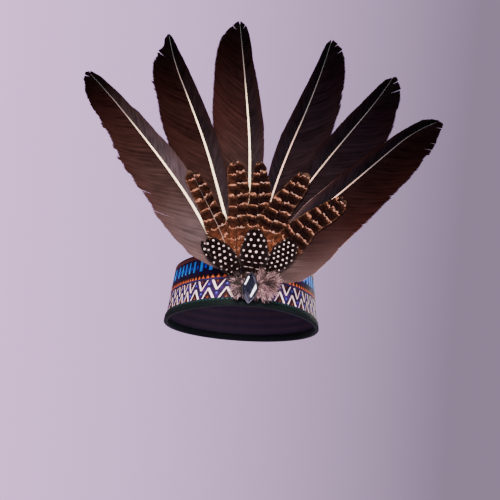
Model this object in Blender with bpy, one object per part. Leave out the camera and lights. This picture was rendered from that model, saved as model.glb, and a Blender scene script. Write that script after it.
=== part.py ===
# Feathered headdress: a woven ribbon band with an edge binding, a flat fan of six wing feathers,
# five barred feathers and four dotted feathers over their roots, two tufts of down and a
# faceted navette stone in a thin rim at the front.
# Metres, +Z up, +X to the viewer's right, the front at -Y. The origin is the centre of the
# band's lower rim.

import math

import bmesh
import bpy

MM = 0.001

# Band: an egg-shaped loop, narrower at the front, leaning inward toward its top edge
BAND_HALF_WIDTH = 76.0 * MM
BAND_HALF_DEPTH = 95.0 * MM
BAND_EGG = 0.15
BAND_HEIGHT = 54.0 * MM
BAND_LEAN = 7.0 * MM
BAND_THICKNESS = 1.6 * MM
RING_STEPS = 80

# Binding: a tape folded round the lower edge
BINDING_HEIGHT = 5.0 * MM
BINDING_THICKNESS = 0.9 * MM
BINDING_GAP = 0.25 * MM
BINDING_ROUND = 0.35 * MM

# Fan: every feather lies on one gently curved sheet round the fan centre
FAN_CENTRE_X = -2.3 * MM
FAN_CENTRE_Z = 26.8 * MM
FAN_LEAN = BAND_LEAN / BAND_HEIGHT
FAN_CURL = 2222.0 * MM
FAN_RADIUS = 260.0 * MM
ROOT_SPREAD = 20.0 * MM
PATH_STEPS = 60

LEVEL_STEP = 1.1 * MM

# Vane plate and quill of each kind of feather
KIND_SIZES = {
    "wing": {
        "length": 240.0 * MM,
        "trailing": 36.0 * MM,
        "leading": 14.5 * MM,
        "plate": 0.7 * MM,
        "quill_half": 1.9 * MM,
        "quill_tip": 0.35 * MM,
        "quill_rise": 1.0 * MM,
        "camber": 2.0 * MM,
    },
    "barred": {
        "length": 96.0 * MM,
        "trailing": 11.0 * MM,
        "leading": 12.0 * MM,
        "plate": 0.7 * MM,
        "quill_half": 0.6 * MM,
        "quill_tip": 0.25 * MM,
        "quill_rise": 0.35 * MM,
        "camber": 0.0 * MM,
    },
    "guinea": {
        "length": 47.0 * MM,
        "trailing": 12.0 * MM,
        "leading": 14.0 * MM,
        "plate": 0.7 * MM,
        "quill_half": 0.5 * MM,
        "quill_tip": 0.25 * MM,
        "quill_rise": 0.25 * MM,
        "camber": 0.0 * MM,
    },
}

# Columns: name, kind, side of the trailing vane (1 left, -1 right), distance in front of the
# band at the fan centre and extra distance at the fan radius as shares of the level step,
# base across and base up from the fan centre as shares of the root spread, length as a share
# of the kind's length, quill angles from upright at even steps of the length in degrees
# (positive leans right), trailing and leading vane widths as shares of the kind's widths
FEATHERS = (
    ("wing_feather_1", "wing", 1, 2.73, 5.4, -0.81, 0.09, 1.009, (-34.4, -29.6, -37.6, -41.5, -43.3, -48.7), 1.01, 1.09),
    ("wing_feather_2", "wing", 1, 1.73, 2.7, -0.44, 0.43, 1.018, (-18.0, -17.9, -18.4, -23.4, -25.5, -12.4), 1.00, 0.95),
    ("wing_feather_3", "wing", 1, 0.73, 0.0, -0.07, 0.67, 1.027, (-2.0, -1.0, -3.2, -7.7, -8.9, -9.4), 0.98, 1.03),
    ("wing_feather_4", "wing", -1, 1.73, 2.7, 0.26, 0.58, 1.012, (8.4, 11.2, 16.3, 20.1, 16.6, 12.4), 0.89, 0.91),
    ("wing_feather_5", "wing", -1, 2.73, 5.4, 0.44, 0.49, 0.978, (17.8, 27.3, 32.8, 35.4, 35.9, 29.3), 1.04, 0.91),
    ("wing_feather_6", "wing", -1, 3.73, 8.2, 0.64, 0.15, 0.976, (26.3, 39.4, 45.9, 45.3, 46.0, 67.6), 1.18, 0.94),
    ("barred_feather_1", "barred", 1, 3.85, 6.6, -0.96, 0.95, 0.951, (-18.0, -27.6, -30.6, -24.9), 0.89, 0.81),
    ("barred_feather_2", "barred", 1, 4.45, 5.4, -0.57, 0.87, 1.008, (-6.7, -1.4, -4.0, -11.2), 0.86, 1.01),
    ("barred_feather_3", "barred", 1, 3.35, 4.0, 0.00, 1.03, 1.001, (7.4, 6.8, 1.0, -8.0), 0.90, 1.02),
    ("barred_feather_4", "barred", 1, 4.60, 9.0, 0.36, 0.90, 1.018, (16.9, 21.2, 27.1, 33.0), 1.18, 1.12),
    ("barred_feather_5", "barred", 1, 5.45, 9.5, 0.71, 0.82, 1.046, (44.6, 44.1, 48.9, 53.0), 0.96, 1.17),
    ("guinea_feather_1", "guinea", 1, 5.40, 9.0, -0.71, 0.03, 0.928, (-56.4, -53.1, -45.9, -34.7), 0.32, 0.56),
    ("guinea_feather_2", "guinea", 1, 6.40, 10.0, -0.52, -0.12, 0.983, (-39.8, -40.4, -38.8, -34.7), 0.67, 1.00),
    ("guinea_feather_3", "guinea", 1, 7.50, 11.5, 0.08, 0.00, 1.002, (6.5, 3.5, 1.7, 0.7), 1.04, 1.09),
    ("guinea_feather_4", "guinea", 1, 6.50, 10.5, 0.45, 0.00, 1.089, (52.6, 43.9, 33.0, 24.5), 1.03, 0.81),
)

# Outline of each feather. Columns: share of its length, share of its trailing width, share
# of its leading width
OUTLINES = {
    "wing_feather_1": (
        (0.0, 0.03, 0.06), (0.03, 0.14, 0.29), (0.08, 0.40, 0.54), (0.15, 0.70, 0.67),
        (0.25, 0.89, 0.78), (0.35, 0.98, 0.88), (0.45, 0.94, 0.96), (0.55, 0.95, 0.97),
        (0.65, 0.91, 0.83), (0.75, 0.71, 0.75), (0.79, 0.70, 0.60), (0.84, 0.61, 0.56),
        (0.875, 0.61, 0.51), (0.91, 0.55, 0.44), (0.95, 0.43, 0.38), (0.99, 0.24, 0.19),
        (1.0, 0.12, 0.05),
    ),
    "wing_feather_2": (
        (0.0, 0.03, 0.07), (0.03, 0.17, 0.26), (0.08, 0.38, 0.43), (0.15, 0.62, 0.55),
        (0.25, 0.85, 0.68), (0.35, 0.93, 0.84), (0.45, 0.97, 0.95), (0.55, 0.97, 0.99),
        (0.65, 0.97, 0.92), (0.75, 0.83, 0.85), (0.83, 0.78, 0.78), (0.89, 0.62, 0.62),
        (0.93, 0.41, 0.47), (0.943, 0.29, 0.42), (0.952, 0.20, 0.38), (0.98, 0.14, 0.23),
        (1.0, 0.00, 0.00),
    ),
    "wing_feather_3": (
        (0.0, 0.03, 0.07), (0.03, 0.13, 0.22), (0.08, 0.30, 0.33), (0.15, 0.50, 0.50),
        (0.25, 0.73, 0.64), (0.35, 0.88, 0.77), (0.45, 0.98, 0.93), (0.55, 1.00, 1.00),
        (0.65, 0.98, 0.92), (0.75, 0.89, 0.80), (0.83, 0.80, 0.65), (0.89, 0.69, 0.63),
        (0.94, 0.54, 0.57), (0.975, 0.29, 0.43), (1.0, 0.00, 0.00),
    ),
    "wing_feather_4": (
        (0.0, 0.03, 0.08), (0.03, 0.14, 0.33), (0.08, 0.30, 0.46), (0.15, 0.49, 0.56),
        (0.25, 0.73, 0.64), (0.35, 0.90, 0.74), (0.45, 0.98, 0.91), (0.55, 0.99, 0.99),
        (0.65, 0.98, 0.90), (0.75, 0.92, 0.78), (0.83, 0.80, 0.62), (0.89, 0.70, 0.50),
        (0.94, 0.54, 0.41), (0.975, 0.36, 0.31), (1.0, 0.00, 0.00),
    ),
    "wing_feather_5": (
        (0.0, 0.03, 0.08), (0.03, 0.16, 0.20), (0.08, 0.32, 0.32), (0.15, 0.48, 0.45),
        (0.25, 0.66, 0.75), (0.35, 0.82, 0.80), (0.45, 0.93, 0.83), (0.55, 0.99, 0.94),
        (0.65, 0.99, 0.98), (0.75, 0.92, 0.93), (0.83, 0.77, 0.79), (0.89, 0.61, 0.67),
        (0.94, 0.49, 0.54), (0.975, 0.33, 0.38), (1.0, 0.16, 0.00),
    ),
    "wing_feather_6": (
        (0.0, 0.02, 0.07), (0.03, 0.61, 0.16), (0.08, 0.84, 0.30), (0.15, 0.96, 0.54),
        (0.25, 1.00, 0.82), (0.35, 0.95, 0.98), (0.45, 0.92, 0.97), (0.55, 0.87, 0.99),
        (0.65, 0.82, 0.89), (0.75, 0.77, 0.73), (0.83, 0.67, 0.65), (0.89, 0.61, 0.59),
        (0.94, 0.47, 0.57), (0.975, 0.31, 0.35), (1.0, 0.17, 0.07),
    ),
    "barred_feather_1": (
        (0.0, 0.10, 0.10), (0.08, 0.56, 0.41), (0.18, 0.84, 0.58), (0.3, 0.98, 0.74),
        (0.42, 0.99, 0.85), (0.54, 1.00, 0.82), (0.66, 0.97, 0.90), (0.78, 0.96, 0.97),
        (0.88, 0.95, 0.69), (0.95, 0.95, 0.41), (1.0, 0.59, 0.00),
    ),
    "barred_feather_2": (
        (0.0, 0.11, 0.08), (0.08, 0.22, 0.20), (0.18, 0.38, 0.36), (0.3, 0.55, 0.50),
        (0.42, 0.71, 0.54), (0.54, 0.82, 0.80), (0.66, 0.95, 0.99), (0.78, 1.00, 0.95),
        (0.88, 0.92, 0.76), (0.95, 0.72, 0.50), (1.0, 0.00, 0.00),
    ),
    "barred_feather_3": (
        (0.0, 0.10, 0.08), (0.08, 0.31, 0.13), (0.18, 0.54, 0.24), (0.3, 0.81, 0.41),
        (0.42, 1.00, 0.58), (0.54, 0.95, 0.79), (0.66, 0.96, 0.99), (0.78, 0.87, 0.84),
        (0.88, 0.58, 0.57), (0.95, 0.37, 0.38), (1.0, 0.00, 0.00),
    ),
    "barred_feather_4": (
        (0.0, 0.08, 0.07), (0.08, 0.24, 0.28), (0.18, 0.38, 0.52), (0.3, 0.59, 0.80),
        (0.42, 0.94, 0.99), (0.54, 0.93, 0.88), (0.66, 0.84, 0.88), (0.78, 0.62, 0.99),
        (0.88, 0.46, 0.90), (0.95, 0.31, 0.78), (1.0, 0.00, 0.60),
    ),
    "barred_feather_5": (
        (0.0, 0.09, 0.07), (0.08, 0.48, 0.48), (0.18, 0.63, 0.73), (0.3, 0.73, 0.95),
        (0.42, 0.90, 0.97), (0.54, 0.99, 0.85), (0.66, 0.95, 0.86), (0.78, 0.77, 0.89),
        (0.88, 0.60, 0.82), (0.95, 0.43, 0.68), (1.0, 0.00, 0.00),
    ),
    "guinea_feather_1": (
        (0.0, 0.26, 0.13), (0.1, 0.95, 0.35), (0.22, 0.79, 0.57), (0.36, 0.63, 0.77),
        (0.5, 0.84, 0.90), (0.65, 0.99, 0.97), (0.8, 0.77, 0.98), (0.92, 0.42, 0.82),
        (1.0, 0.00, 0.46),
    ),
    "guinea_feather_2": (
        (0.0, 0.12, 0.07), (0.1, 0.49, 0.57), (0.22, 0.62, 0.76), (0.36, 0.72, 0.91),
        (0.5, 0.87, 0.98), (0.65, 1.00, 0.95), (0.8, 0.96, 0.77), (0.92, 0.82, 0.41),
        (1.0, 0.48, 0.00),
    ),
    "guinea_feather_3": (
        (0.0, 0.08, 0.07), (0.1, 0.59, 0.48), (0.22, 0.87, 0.80), (0.36, 0.99, 0.97),
        (0.5, 1.00, 0.98), (0.65, 0.95, 0.91), (0.8, 0.80, 0.75), (0.92, 0.51, 0.46),
        (1.0, 0.00, 0.00),
    ),
    "guinea_feather_4": (
        (0.0, 0.08, 0.09), (0.1, 0.26, 0.19), (0.22, 0.41, 0.36), (0.36, 0.63, 0.67),
        (0.5, 0.88, 0.90), (0.65, 0.99, 0.99), (0.8, 0.89, 0.89), (0.92, 0.56, 0.65),
        (1.0, 0.00, 0.00),
    ),
}

# Down tufts: reach of each lock round the tuft as a share of the tuft's reach
TUFT_RIM = 0.8 * MM
TUFT_VALLEY = 0.84
TUFT_RIDGE = 0.5 * MM
TUFT_RINGS = (0.28, 0.52, 0.74, 0.9, 1.0)
TUFT_BACK = 9.4 * MM
TUFT_BAND_GAP = 1.7 * MM
TUFT_STEP_LOW = 14.5 * MM
TUFT_STEP_HIGH = 19.5 * MM
TUFTS = (
    {
        "name": "down_right",
        "centre": (16.0 * MM, 17.3 * MM),
        "reach": 17.2 * MM,
        "bulge": 3.4 * MM,
        "locks": (0.75, 0.87, 0.97, 0.98, 0.93, 0.92, 0.91, 0.90, 0.79, 0.73, 0.78, 1.00, 0.98, 0.93,
                  0.82, 0.69, 0.70, 0.79),
    },
    {
        "name": "down_left",
        "centre": (-12.3 * MM, 13.8 * MM),
        "reach": 13.7 * MM,
        "bulge": 1.6 * MM,
        "locks": (0.59, 0.66, 0.84, 1.00, 0.94, 0.86, 0.77, 0.62, 0.54, 0.50, 0.53, 0.67, 0.77, 0.91,
                  0.92, 0.73),
    },
)

# Stone: a navette with a table, star, main and girdle facets
STONE_CENTRE_X = -0.4 * MM
STONE_CENTRE_Z = 14.6 * MM
STONE_BACK = 10.6 * MM
STONE_HALF_LENGTH = 13.5 * MM
STONE_HALF_WIDTH = 6.4 * MM
STONE_TILT = math.radians(3.2)
STONE_PAVILION = 2.2 * MM
STONE_GIRDLE = 0.5 * MM
STONE_CROWN = 2.6 * MM
STONE_TABLE_SHARE = 0.52
STONE_STAR_SHARE = 0.80
STONE_STAR_RISE = 0.55
STONE_SIDES = 8

# Rim: a thin metal setting, from the stone's back plane to just past its girdle
RIM_GAP = 0.2 * MM
RIM_WALL = 0.6 * MM
RIM_FRONT = 0.9 * MM
RIM_TIP = 0.4 * MM
RIM_STEPS = 24


# Small helpers
def make_material(name, colour, roughness, metallic=0.0):
    material = bpy.data.materials.new(name)
    material.use_nodes = True
    shader = material.node_tree.nodes["Principled BSDF"]
    shader.inputs["Base Color"].default_value = (*colour, 1.0)
    shader.inputs["Roughness"].default_value = roughness
    shader.inputs["Metallic"].default_value = metallic
    material.diffuse_color = (*colour, 1.0)
    return material


def make_solid(collection, name, points, faces, material, smooth=False):
    mesh = bpy.data.meshes.new(name)
    mesh.from_pydata(points, [], faces)
    shape = bmesh.new()
    shape.from_mesh(mesh)
    bmesh.ops.recalc_face_normals(shape, faces=shape.faces)
    shape.to_mesh(mesh)
    shape.free()
    mesh.materials.append(material)
    for face in mesh.polygons:
        face.use_smooth = smooth
    piece = bpy.data.objects.new(name, mesh)
    collection.objects.link(piece)
    return piece


def between(low, high, share):
    return low + (high - low) * share


def step_share(value, low, high):
    share = min(1.0, max(0.0, (value - low) / (high - low)))
    return share * share * (3.0 - 2.0 * share)


# Band and binding
def ring_point(turn, rise, outward):
    inset = BAND_LEAN * rise / BAND_HEIGHT
    half_width = BAND_HALF_WIDTH - inset + outward
    half_depth = BAND_HALF_DEPTH - inset + outward
    across = half_width * math.cos(turn) * (1.0 + BAND_EGG * math.sin(turn))
    return (across, half_depth * math.sin(turn), rise)


def sweep_ring(section):
    points = []
    faces = []
    count = len(section)
    for step in range(RING_STEPS):
        turn = 2.0 * math.pi * step / RING_STEPS
        for outward, rise in section:
            points.append(ring_point(turn, rise, outward))
    for step in range(RING_STEPS):
        here = step * count
        after = ((step + 1) % RING_STEPS) * count
        for corner in range(count):
            nearby = (corner + 1) % count
            faces.append((here + corner, here + nearby, after + nearby, after + corner))
    return points, faces


def band_front(across, rise):
    inset = BAND_LEAN * rise / BAND_HEIGHT
    half_width = BAND_HALF_WIDTH - inset
    sine = 1.0
    for _ in range(12):
        cosine = across / (half_width * (1.0 - BAND_EGG * sine))
        sine = math.sqrt(max(0.0, 1.0 - cosine * cosine))
    return -(BAND_HALF_DEPTH - inset) * sine


FAN_FRONT = -band_front(0.0, FAN_CENTRE_Z)


# Feathers
def sheet_depth(across, up, offset, spread):
    reach = math.hypot(across - FAN_CENTRE_X, up - FAN_CENTRE_Z)
    forward = LEVEL_STEP * (offset + spread * reach / FAN_RADIUS)
    return -FAN_FRONT - forward + FAN_LEAN * reach - reach * reach / FAN_CURL


def quill_angle(angles, share):
    spans = len(angles) - 1
    place = min(share * spans, spans - 0.000001)
    knot = int(place)
    return math.radians(between(angles[knot], angles[knot + 1], place - knot))


def quill_path(base_x, base_z, length, angles, shares):
    across = base_x
    up = base_z
    places = []
    done = 0.0
    for share in shares:
        steps = max(1, round((share - done) * PATH_STEPS))
        stride = (share - done) / steps
        for step in range(steps):
            angle = quill_angle(angles, done + stride * (step + 0.5))
            across += math.sin(angle) * stride * length
            up += math.cos(angle) * stride * length
        done = share
        places.append((across, up, quill_angle(angles, share)))
    return places


def feather_section(trailing, leading, quill, rise):
    trail_middle = (trailing + quill) / 2.0
    lead_middle = (leading + quill) / 2.0
    front = (
        (trailing, 0.0),
        (trail_middle, 0.0),
        (quill, 0.0),
        (quill * 0.45, rise),
        (-quill * 0.45, rise),
        (-quill, 0.0),
        (-lead_middle, 0.0),
        (-leading, 0.0),
    )
    back = (-leading, -lead_middle, 0.0, trail_middle, trailing)
    return front, back


def make_feather(collection, row, materials):
    name, kind, side, offset_share, spread, base_x, base_z, length = row[:8]
    angles, trail_share, lead_share = row[8:]
    sizes = KIND_SIZES[kind]
    outline = OUTLINES[name]
    places = quill_path(
        FAN_CENTRE_X + base_x * ROOT_SPREAD,
        FAN_CENTRE_Z + base_z * ROOT_SPREAD,
        length * sizes["length"],
        angles,
        [station[0] for station in outline],
    )
    points = []
    for (along, trail, lead), (across, up, angle) in zip(outline, places):
        quill = between(sizes["quill_half"], sizes["quill_tip"], along)
        rise = sizes["quill_rise"] * between(1.0, 0.25, along)
        margin = quill + 0.3 * MM
        trailing = max(trail * trail_share * sizes["trailing"], margin)
        leading = max(lead * lead_share * sizes["leading"], margin)
        front, back = feather_section(trailing, leading, quill, rise)
        left_x = -math.cos(angle) * side
        left_z = math.sin(angle) * side
        half_plate = sizes["plate"] / 2.0

        def surface(offset):
            x = across + left_x * offset
            z = up + left_z * offset
            reach = math.hypot(x - FAN_CENTRE_X, z - FAN_CENTRE_Z) / FAN_RADIUS
            bend = sizes["camber"] * reach * (offset / sizes["trailing"]) ** 2
            return x, sheet_depth(x, z, offset_share, spread) - bend, z

        for offset, proud in front:
            x, y, z = surface(offset)
            points.append((x, y - half_plate - proud, z))
        for offset in back:
            x, y, z = surface(offset)
            points.append((x, y + half_plate, z))
    count = len(front) + len(back)
    faces = [tuple(range(count))]
    for station in range(len(outline) - 1):
        here = station * count
        after = here + count
        for corner in range(count):
            nearby = (corner + 1) % count
            faces.append((here + corner, here + nearby, after + nearby, after + corner))
    last = (len(outline) - 1) * count
    faces.append(tuple(range(last, last + count)))
    return make_solid(collection, name, points, faces, materials[kind])


# Down tufts
def tuft_back(across, up):
    near_band = band_front(across, max(up, 0.0)) - TUFT_BAND_GAP
    over_roots = -FAN_FRONT - TUFT_BACK
    return between(near_band, over_roots, step_share(up, TUFT_STEP_LOW, TUFT_STEP_HIGH))


def make_tuft(collection, tuft, material):
    centre_x, centre_z = tuft["centre"]
    locks = tuft["locks"]
    rays = []
    for index, reach in enumerate(locks):
        following = locks[(index + 1) % len(locks)]
        rays.append((index, reach, TUFT_RIDGE))
        rays.append((index + 0.5, (reach + following) / 2.0 * TUFT_VALLEY, 0.0))
    points = []
    for is_front in (True, False):
        y = -FAN_FRONT - TUFT_BACK - TUFT_RIM - tuft["bulge"]
        points.append((centre_x, y if is_front else tuft_back(centre_x, centre_z), centre_z))
        for place, reach, ridge in rays:
            turn = 2.0 * math.pi * place / len(locks)
            for ring in TUFT_RINGS:
                x = centre_x + math.cos(turn) * reach * tuft["reach"] * ring
                z = centre_z + math.sin(turn) * reach * tuft["reach"] * ring
                clear = step_share(abs(x - STONE_CENTRE_X), 8.0 * MM, 13.0 * MM)
                proud = (tuft["bulge"] * (1.0 - ring * ring) + ridge * (1.0 - ring)) * clear
                y = -FAN_FRONT - TUFT_BACK - TUFT_RIM - proud
                points.append((x, y if is_front else tuft_back(x, z), z))
    faces = []
    ring_count = len(TUFT_RINGS)
    ray_count = len(rays)
    half = 1 + ray_count * ring_count
    for start in (0, half):
        for ray in range(ray_count):
            here = start + 1 + ray * ring_count
            after = start + 1 + ((ray + 1) % ray_count) * ring_count
            faces.append((start, here, after))
            for ring in range(ring_count - 1):
                faces.append((here + ring, here + ring + 1, after + ring + 1, after + ring))
    for ray in range(ray_count):
        here = 1 + ray * ring_count + ring_count - 1
        after = 1 + ((ray + 1) % ray_count) * ring_count + ring_count - 1
        faces.append((here, half + here, half + after, after))
    return make_solid(collection, tuft["name"], points, faces, material)


# Stone and its rim
def navette_point(turn, half_length, half_width):
    # A point on the two arcs that meet at the upper and lower tips
    radius = (half_length ** 2 + half_width ** 2) / (2.0 * half_width)
    along = half_length * math.cos(turn)
    side = math.sqrt(max(0.0, radius ** 2 - along ** 2)) - (radius - half_width)
    return (side if math.sin(turn) >= 0.0 else -side), along


def place_on_front(across, along, proud):
    # Proud is measured forward from the stone's back plane
    x = STONE_CENTRE_X + across * math.cos(STONE_TILT) + along * math.sin(STONE_TILT)
    z = STONE_CENTRE_Z - across * math.sin(STONE_TILT) + along * math.cos(STONE_TILT)
    return (x, -FAN_FRONT - STONE_BACK - proud, z)


def stone_ring(count, shift, share, proud):
    ring = []
    for index in range(count):
        turn = 2.0 * math.pi * (index + shift) / count
        across, along = navette_point(turn, STONE_HALF_LENGTH, STONE_HALF_WIDTH)
        ring.append(place_on_front(across * share, along * share, proud))
    return ring


def make_stone(collection, material):
    sides = STONE_SIDES
    girdle = 2 * sides
    low = STONE_PAVILION
    high = STONE_PAVILION + STONE_GIRDLE
    top = high + STONE_CROWN
    star = between(high, top, STONE_STAR_RISE)
    points = [place_on_front(0.0, 0.0, 0.0)]
    points += stone_ring(girdle, 0.0, 1.0, low)
    points += stone_ring(girdle, 0.0, 1.0, high)
    points += stone_ring(sides, 0.5, STONE_STAR_SHARE, star)
    points += stone_ring(sides, 0.0, STONE_TABLE_SHARE, top)
    lower = 1
    upper = lower + girdle
    stars = upper + girdle
    table = stars + sides
    faces = []
    for index in range(girdle):
        nearby = (index + 1) % girdle
        faces.append((0, lower + nearby, lower + index))
        faces.append((lower + index, lower + nearby, upper + nearby, upper + index))
    for index in range(sides):
        nearby = (index + 1) % sides
        before = (index - 1) % sides
        edge = 2 * index
        middle = edge + 1
        far = (edge + 2) % girdle
        faces.append((table + index, table + nearby, stars + index))
        faces.append((upper + edge, stars + index, table + index))
        faces.append((upper + edge, table + index, stars + before))
        faces.append((stars + index, upper + edge, upper + middle))
        faces.append((stars + index, upper + middle, upper + far))
    faces.append(tuple(range(table, table + sides)))
    return make_solid(collection, "gem", points, faces, material)


def make_rim(collection, material):
    inner_length = STONE_HALF_LENGTH + RIM_GAP + RIM_TIP
    inner_width = STONE_HALF_WIDTH + RIM_GAP
    outer_length = inner_length + RIM_WALL + RIM_TIP
    outer_width = inner_width + RIM_WALL
    middle = STONE_PAVILION + STONE_GIRDLE / 2.0
    back = 0.0
    front = middle + RIM_FRONT
    loops = (
        (outer_length, outer_width, back),
        (outer_length, outer_width, front),
        (inner_length, inner_width, front),
        (inner_length, inner_width, back),
    )
    points = []
    for step in range(RIM_STEPS):
        turn = 2.0 * math.pi * step / RIM_STEPS
        for half_length, half_width, proud in loops:
            across, along = navette_point(turn, half_length, half_width)
            points.append(place_on_front(across, along, proud))
    faces = []
    count = len(loops)
    for step in range(RIM_STEPS):
        here = step * count
        after = ((step + 1) % RIM_STEPS) * count
        for corner in range(count):
            nearby = (corner + 1) % count
            faces.append((here + corner, here + nearby, after + nearby, after + corner))
    return make_solid(collection, "gem_rim", points, faces, material)


# Clear the scene and build
for old in list(bpy.data.objects):
    bpy.data.objects.remove(old, do_unlink=True)

headdress = bpy.data.collections.new("feathered_headdress")
bpy.context.scene.collection.children.link(headdress)

ribbon_material = make_material("woven ribbon", (0.10, 0.05, 0.20), 0.85)
binding_material = make_material("binding tape", (0.01, 0.03, 0.03), 0.85)
vane_materials = {
    "wing": make_material("wing vane", (0.035, 0.02, 0.015), 0.6),
    "barred": make_material("barred vane", (0.12, 0.05, 0.02), 0.65),
    "guinea": make_material("dotted vane", (0.03, 0.03, 0.03), 0.65),
}
down_material = make_material("down", (0.28, 0.21, 0.19), 0.95)
stone_material = make_material("cut stone", (0.02, 0.02, 0.04), 0.05)
rim_material = make_material("rim metal", (0.35, 0.34, 0.38), 0.3, 1.0)

band_section = (
    (0.0, 0.0),
    (0.0, BAND_HEIGHT),
    (-BAND_THICKNESS, BAND_HEIGHT),
    (-BAND_THICKNESS, 0.0),
)
band_points, band_faces = sweep_ring(band_section)
make_solid(headdress, "band", band_points, band_faces, ribbon_material, smooth=True)

tape_out = BINDING_GAP + BINDING_THICKNESS
tape_in = -BAND_THICKNESS - tape_out
tape_low = -BINDING_GAP - BINDING_THICKNESS
tape_section = (
    (BINDING_GAP, BINDING_HEIGHT),
    (tape_out - BINDING_ROUND, BINDING_HEIGHT),
    (tape_out, BINDING_HEIGHT - BINDING_ROUND),
    (tape_out, tape_low + BINDING_ROUND),
    (tape_out - BINDING_ROUND, tape_low),
    (tape_in + BINDING_ROUND, tape_low),
    (tape_in, tape_low + BINDING_ROUND),
    (tape_in, BINDING_HEIGHT),
    (-BAND_THICKNESS - BINDING_GAP, BINDING_HEIGHT),
    (-BAND_THICKNESS - BINDING_GAP, -BINDING_GAP),
    (BINDING_GAP, -BINDING_GAP),
)
tape_points, tape_faces = sweep_ring(tape_section)
make_solid(headdress, "lower_binding", tape_points, tape_faces, binding_material)

for feather_row in FEATHERS:
    make_feather(headdress, feather_row, vane_materials)

for tuft_sizes in TUFTS:
    make_tuft(headdress, tuft_sizes, down_material)

make_stone(headdress, stone_material)
make_rim(headdress, rim_material)
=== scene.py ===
import math
from collections import namedtuple

import bpy
import numpy as np
from mathutils import Matrix


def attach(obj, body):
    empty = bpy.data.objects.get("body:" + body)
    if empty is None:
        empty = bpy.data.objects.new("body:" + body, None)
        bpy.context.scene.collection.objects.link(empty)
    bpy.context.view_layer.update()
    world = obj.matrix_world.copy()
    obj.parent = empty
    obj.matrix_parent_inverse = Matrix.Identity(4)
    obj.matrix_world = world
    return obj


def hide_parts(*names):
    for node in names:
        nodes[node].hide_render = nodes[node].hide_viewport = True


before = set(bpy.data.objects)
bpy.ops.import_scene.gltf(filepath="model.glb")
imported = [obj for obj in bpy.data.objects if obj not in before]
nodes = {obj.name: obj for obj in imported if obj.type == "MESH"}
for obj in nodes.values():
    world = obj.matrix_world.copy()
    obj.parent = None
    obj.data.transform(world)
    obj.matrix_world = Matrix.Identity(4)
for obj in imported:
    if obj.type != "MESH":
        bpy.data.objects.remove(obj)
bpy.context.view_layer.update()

MM = 0.001

# Camera: place, the picture's right and up, and the direction that it looks in
CAMERA_PLACE = (-0.07997, -1.47189, -0.27773)
CAMERA_RIGHT = (0.99551, -0.07126, 0.06225)
CAMERA_UP = (-0.07705, -0.22867, 0.97045)
CAMERA_AHEAD = (0.05492, 0.97089, 0.23314)
CAMERA_LENS = 108.0
SENSOR_WIDTH = 36.0
FLOOR_HEIGHT = -0.42
FLOOR_SIZE = 6.0
# How bright the wall is to the camera, and how much light it gives
BACKDROP_SEEN = 1.0
BACKDROP_LIGHT = 0.22
WALL_SHADES = ((0.0, "cebccf"), (0.5, "bfb1c4"), (1.0, "8e8196"))
LIGHT_AIM = (0.0, 0.0, 0.1)
# Columns: name, place, size in metres, power, colour
LIGHTS = (
    ("key", (-0.4, -1.75, 1.0), (0.9, 0.9), 150.0, (1.0, 0.97, 0.95)),
    ("fill", (1.2, -1.3, 0.1), (0.9, 1.2), 34.0, (0.98, 0.95, 1.0)),
    ("back", (0.5, 1.7, 1.1), (1.2, 1.2), 60.0, (1.0, 0.98, 0.97)),
)

# Band and binding, the same sizes as their solids
BAND_HALF_WIDTH = 76.0 * MM
BAND_HALF_DEPTH = 95.0 * MM
BAND_EGG = 0.15
BAND_HEIGHT = 54.0 * MM
BAND_LEAN = 7.0 * MM
BAND_THICKNESS = 1.6 * MM
BAND_SOFT_EDGE = 0.45 * MM
BAND_ROWS = 12
RING_STEPS = 360
BINDING_HEIGHT = 5.0 * MM
BINDING_THICKNESS = 0.9 * MM
BINDING_GAP = 0.25 * MM
BINDING_TURN = 0.5 * MM
BINDING_SOFT_EDGE = 0.25 * MM
EDGE_ANGLE = math.radians(50.0)
# Rounds that find a place on the egg from across, and a turn from a place
EGG_ROUNDS = 12
TURN_ROUNDS = 4
CHEVRONS = 30
# Where the ribbon's chevrons lie on the front of the loop: turn in degrees and chevron number.
# The back goes on at an even step
CHEVRON_PLACES = (
    (182.5, -6.0), (190.1, -5.5), (194.6, -5.0), (198.7, -4.5), (202.3, -4.0), (205.6, -3.5),
    (209.0, -3.0), (212.3, -2.5), (216.2, -2.0), (221.4, -1.5), (227.3, -1.0), (234.0, -0.5),
    (241.8, 0.0), (250.5, 0.5), (259.2, 1.0), (267.6, 1.5), (275.6, 2.0), (283.2, 2.5),
    (290.5, 3.0), (297.6, 3.5), (303.9, 4.0), (310.5, 4.5), (316.6, 5.0), (321.8, 5.5),
    (326.2, 6.0), (330.0, 6.5), (333.6, 7.0), (337.0, 7.5), (340.5, 8.0), (344.1, 8.5),
)
# Chevrons of the ribbon: heights as shares of the band's, widths as shares of a chevron
V_TOP = 0.470
V_LOW = 0.285
A_LOW = 0.135
A_TOP = 0.325
V_SPREADS = (0.29, 0.38)
A_SPREADS = (0.36, 0.33)
WIDE_STROKE = 0.07
NARROW_STROKE = 0.038
STROKE_OVERLAP = 0.03

# Fan of feathers
FAN_CENTRE_X = -2.3 * MM
FAN_CENTRE_Z = 26.8 * MM
FAN_LEAN = BAND_LEAN / BAND_HEIGHT
FAN_CURL = 2222.0 * MM
FAN_RADIUS = 260.0 * MM
ROOT_SPREAD = 20.0 * MM
PATH_STEPS = 480
LEVEL_STEP = 1.1 * MM

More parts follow.
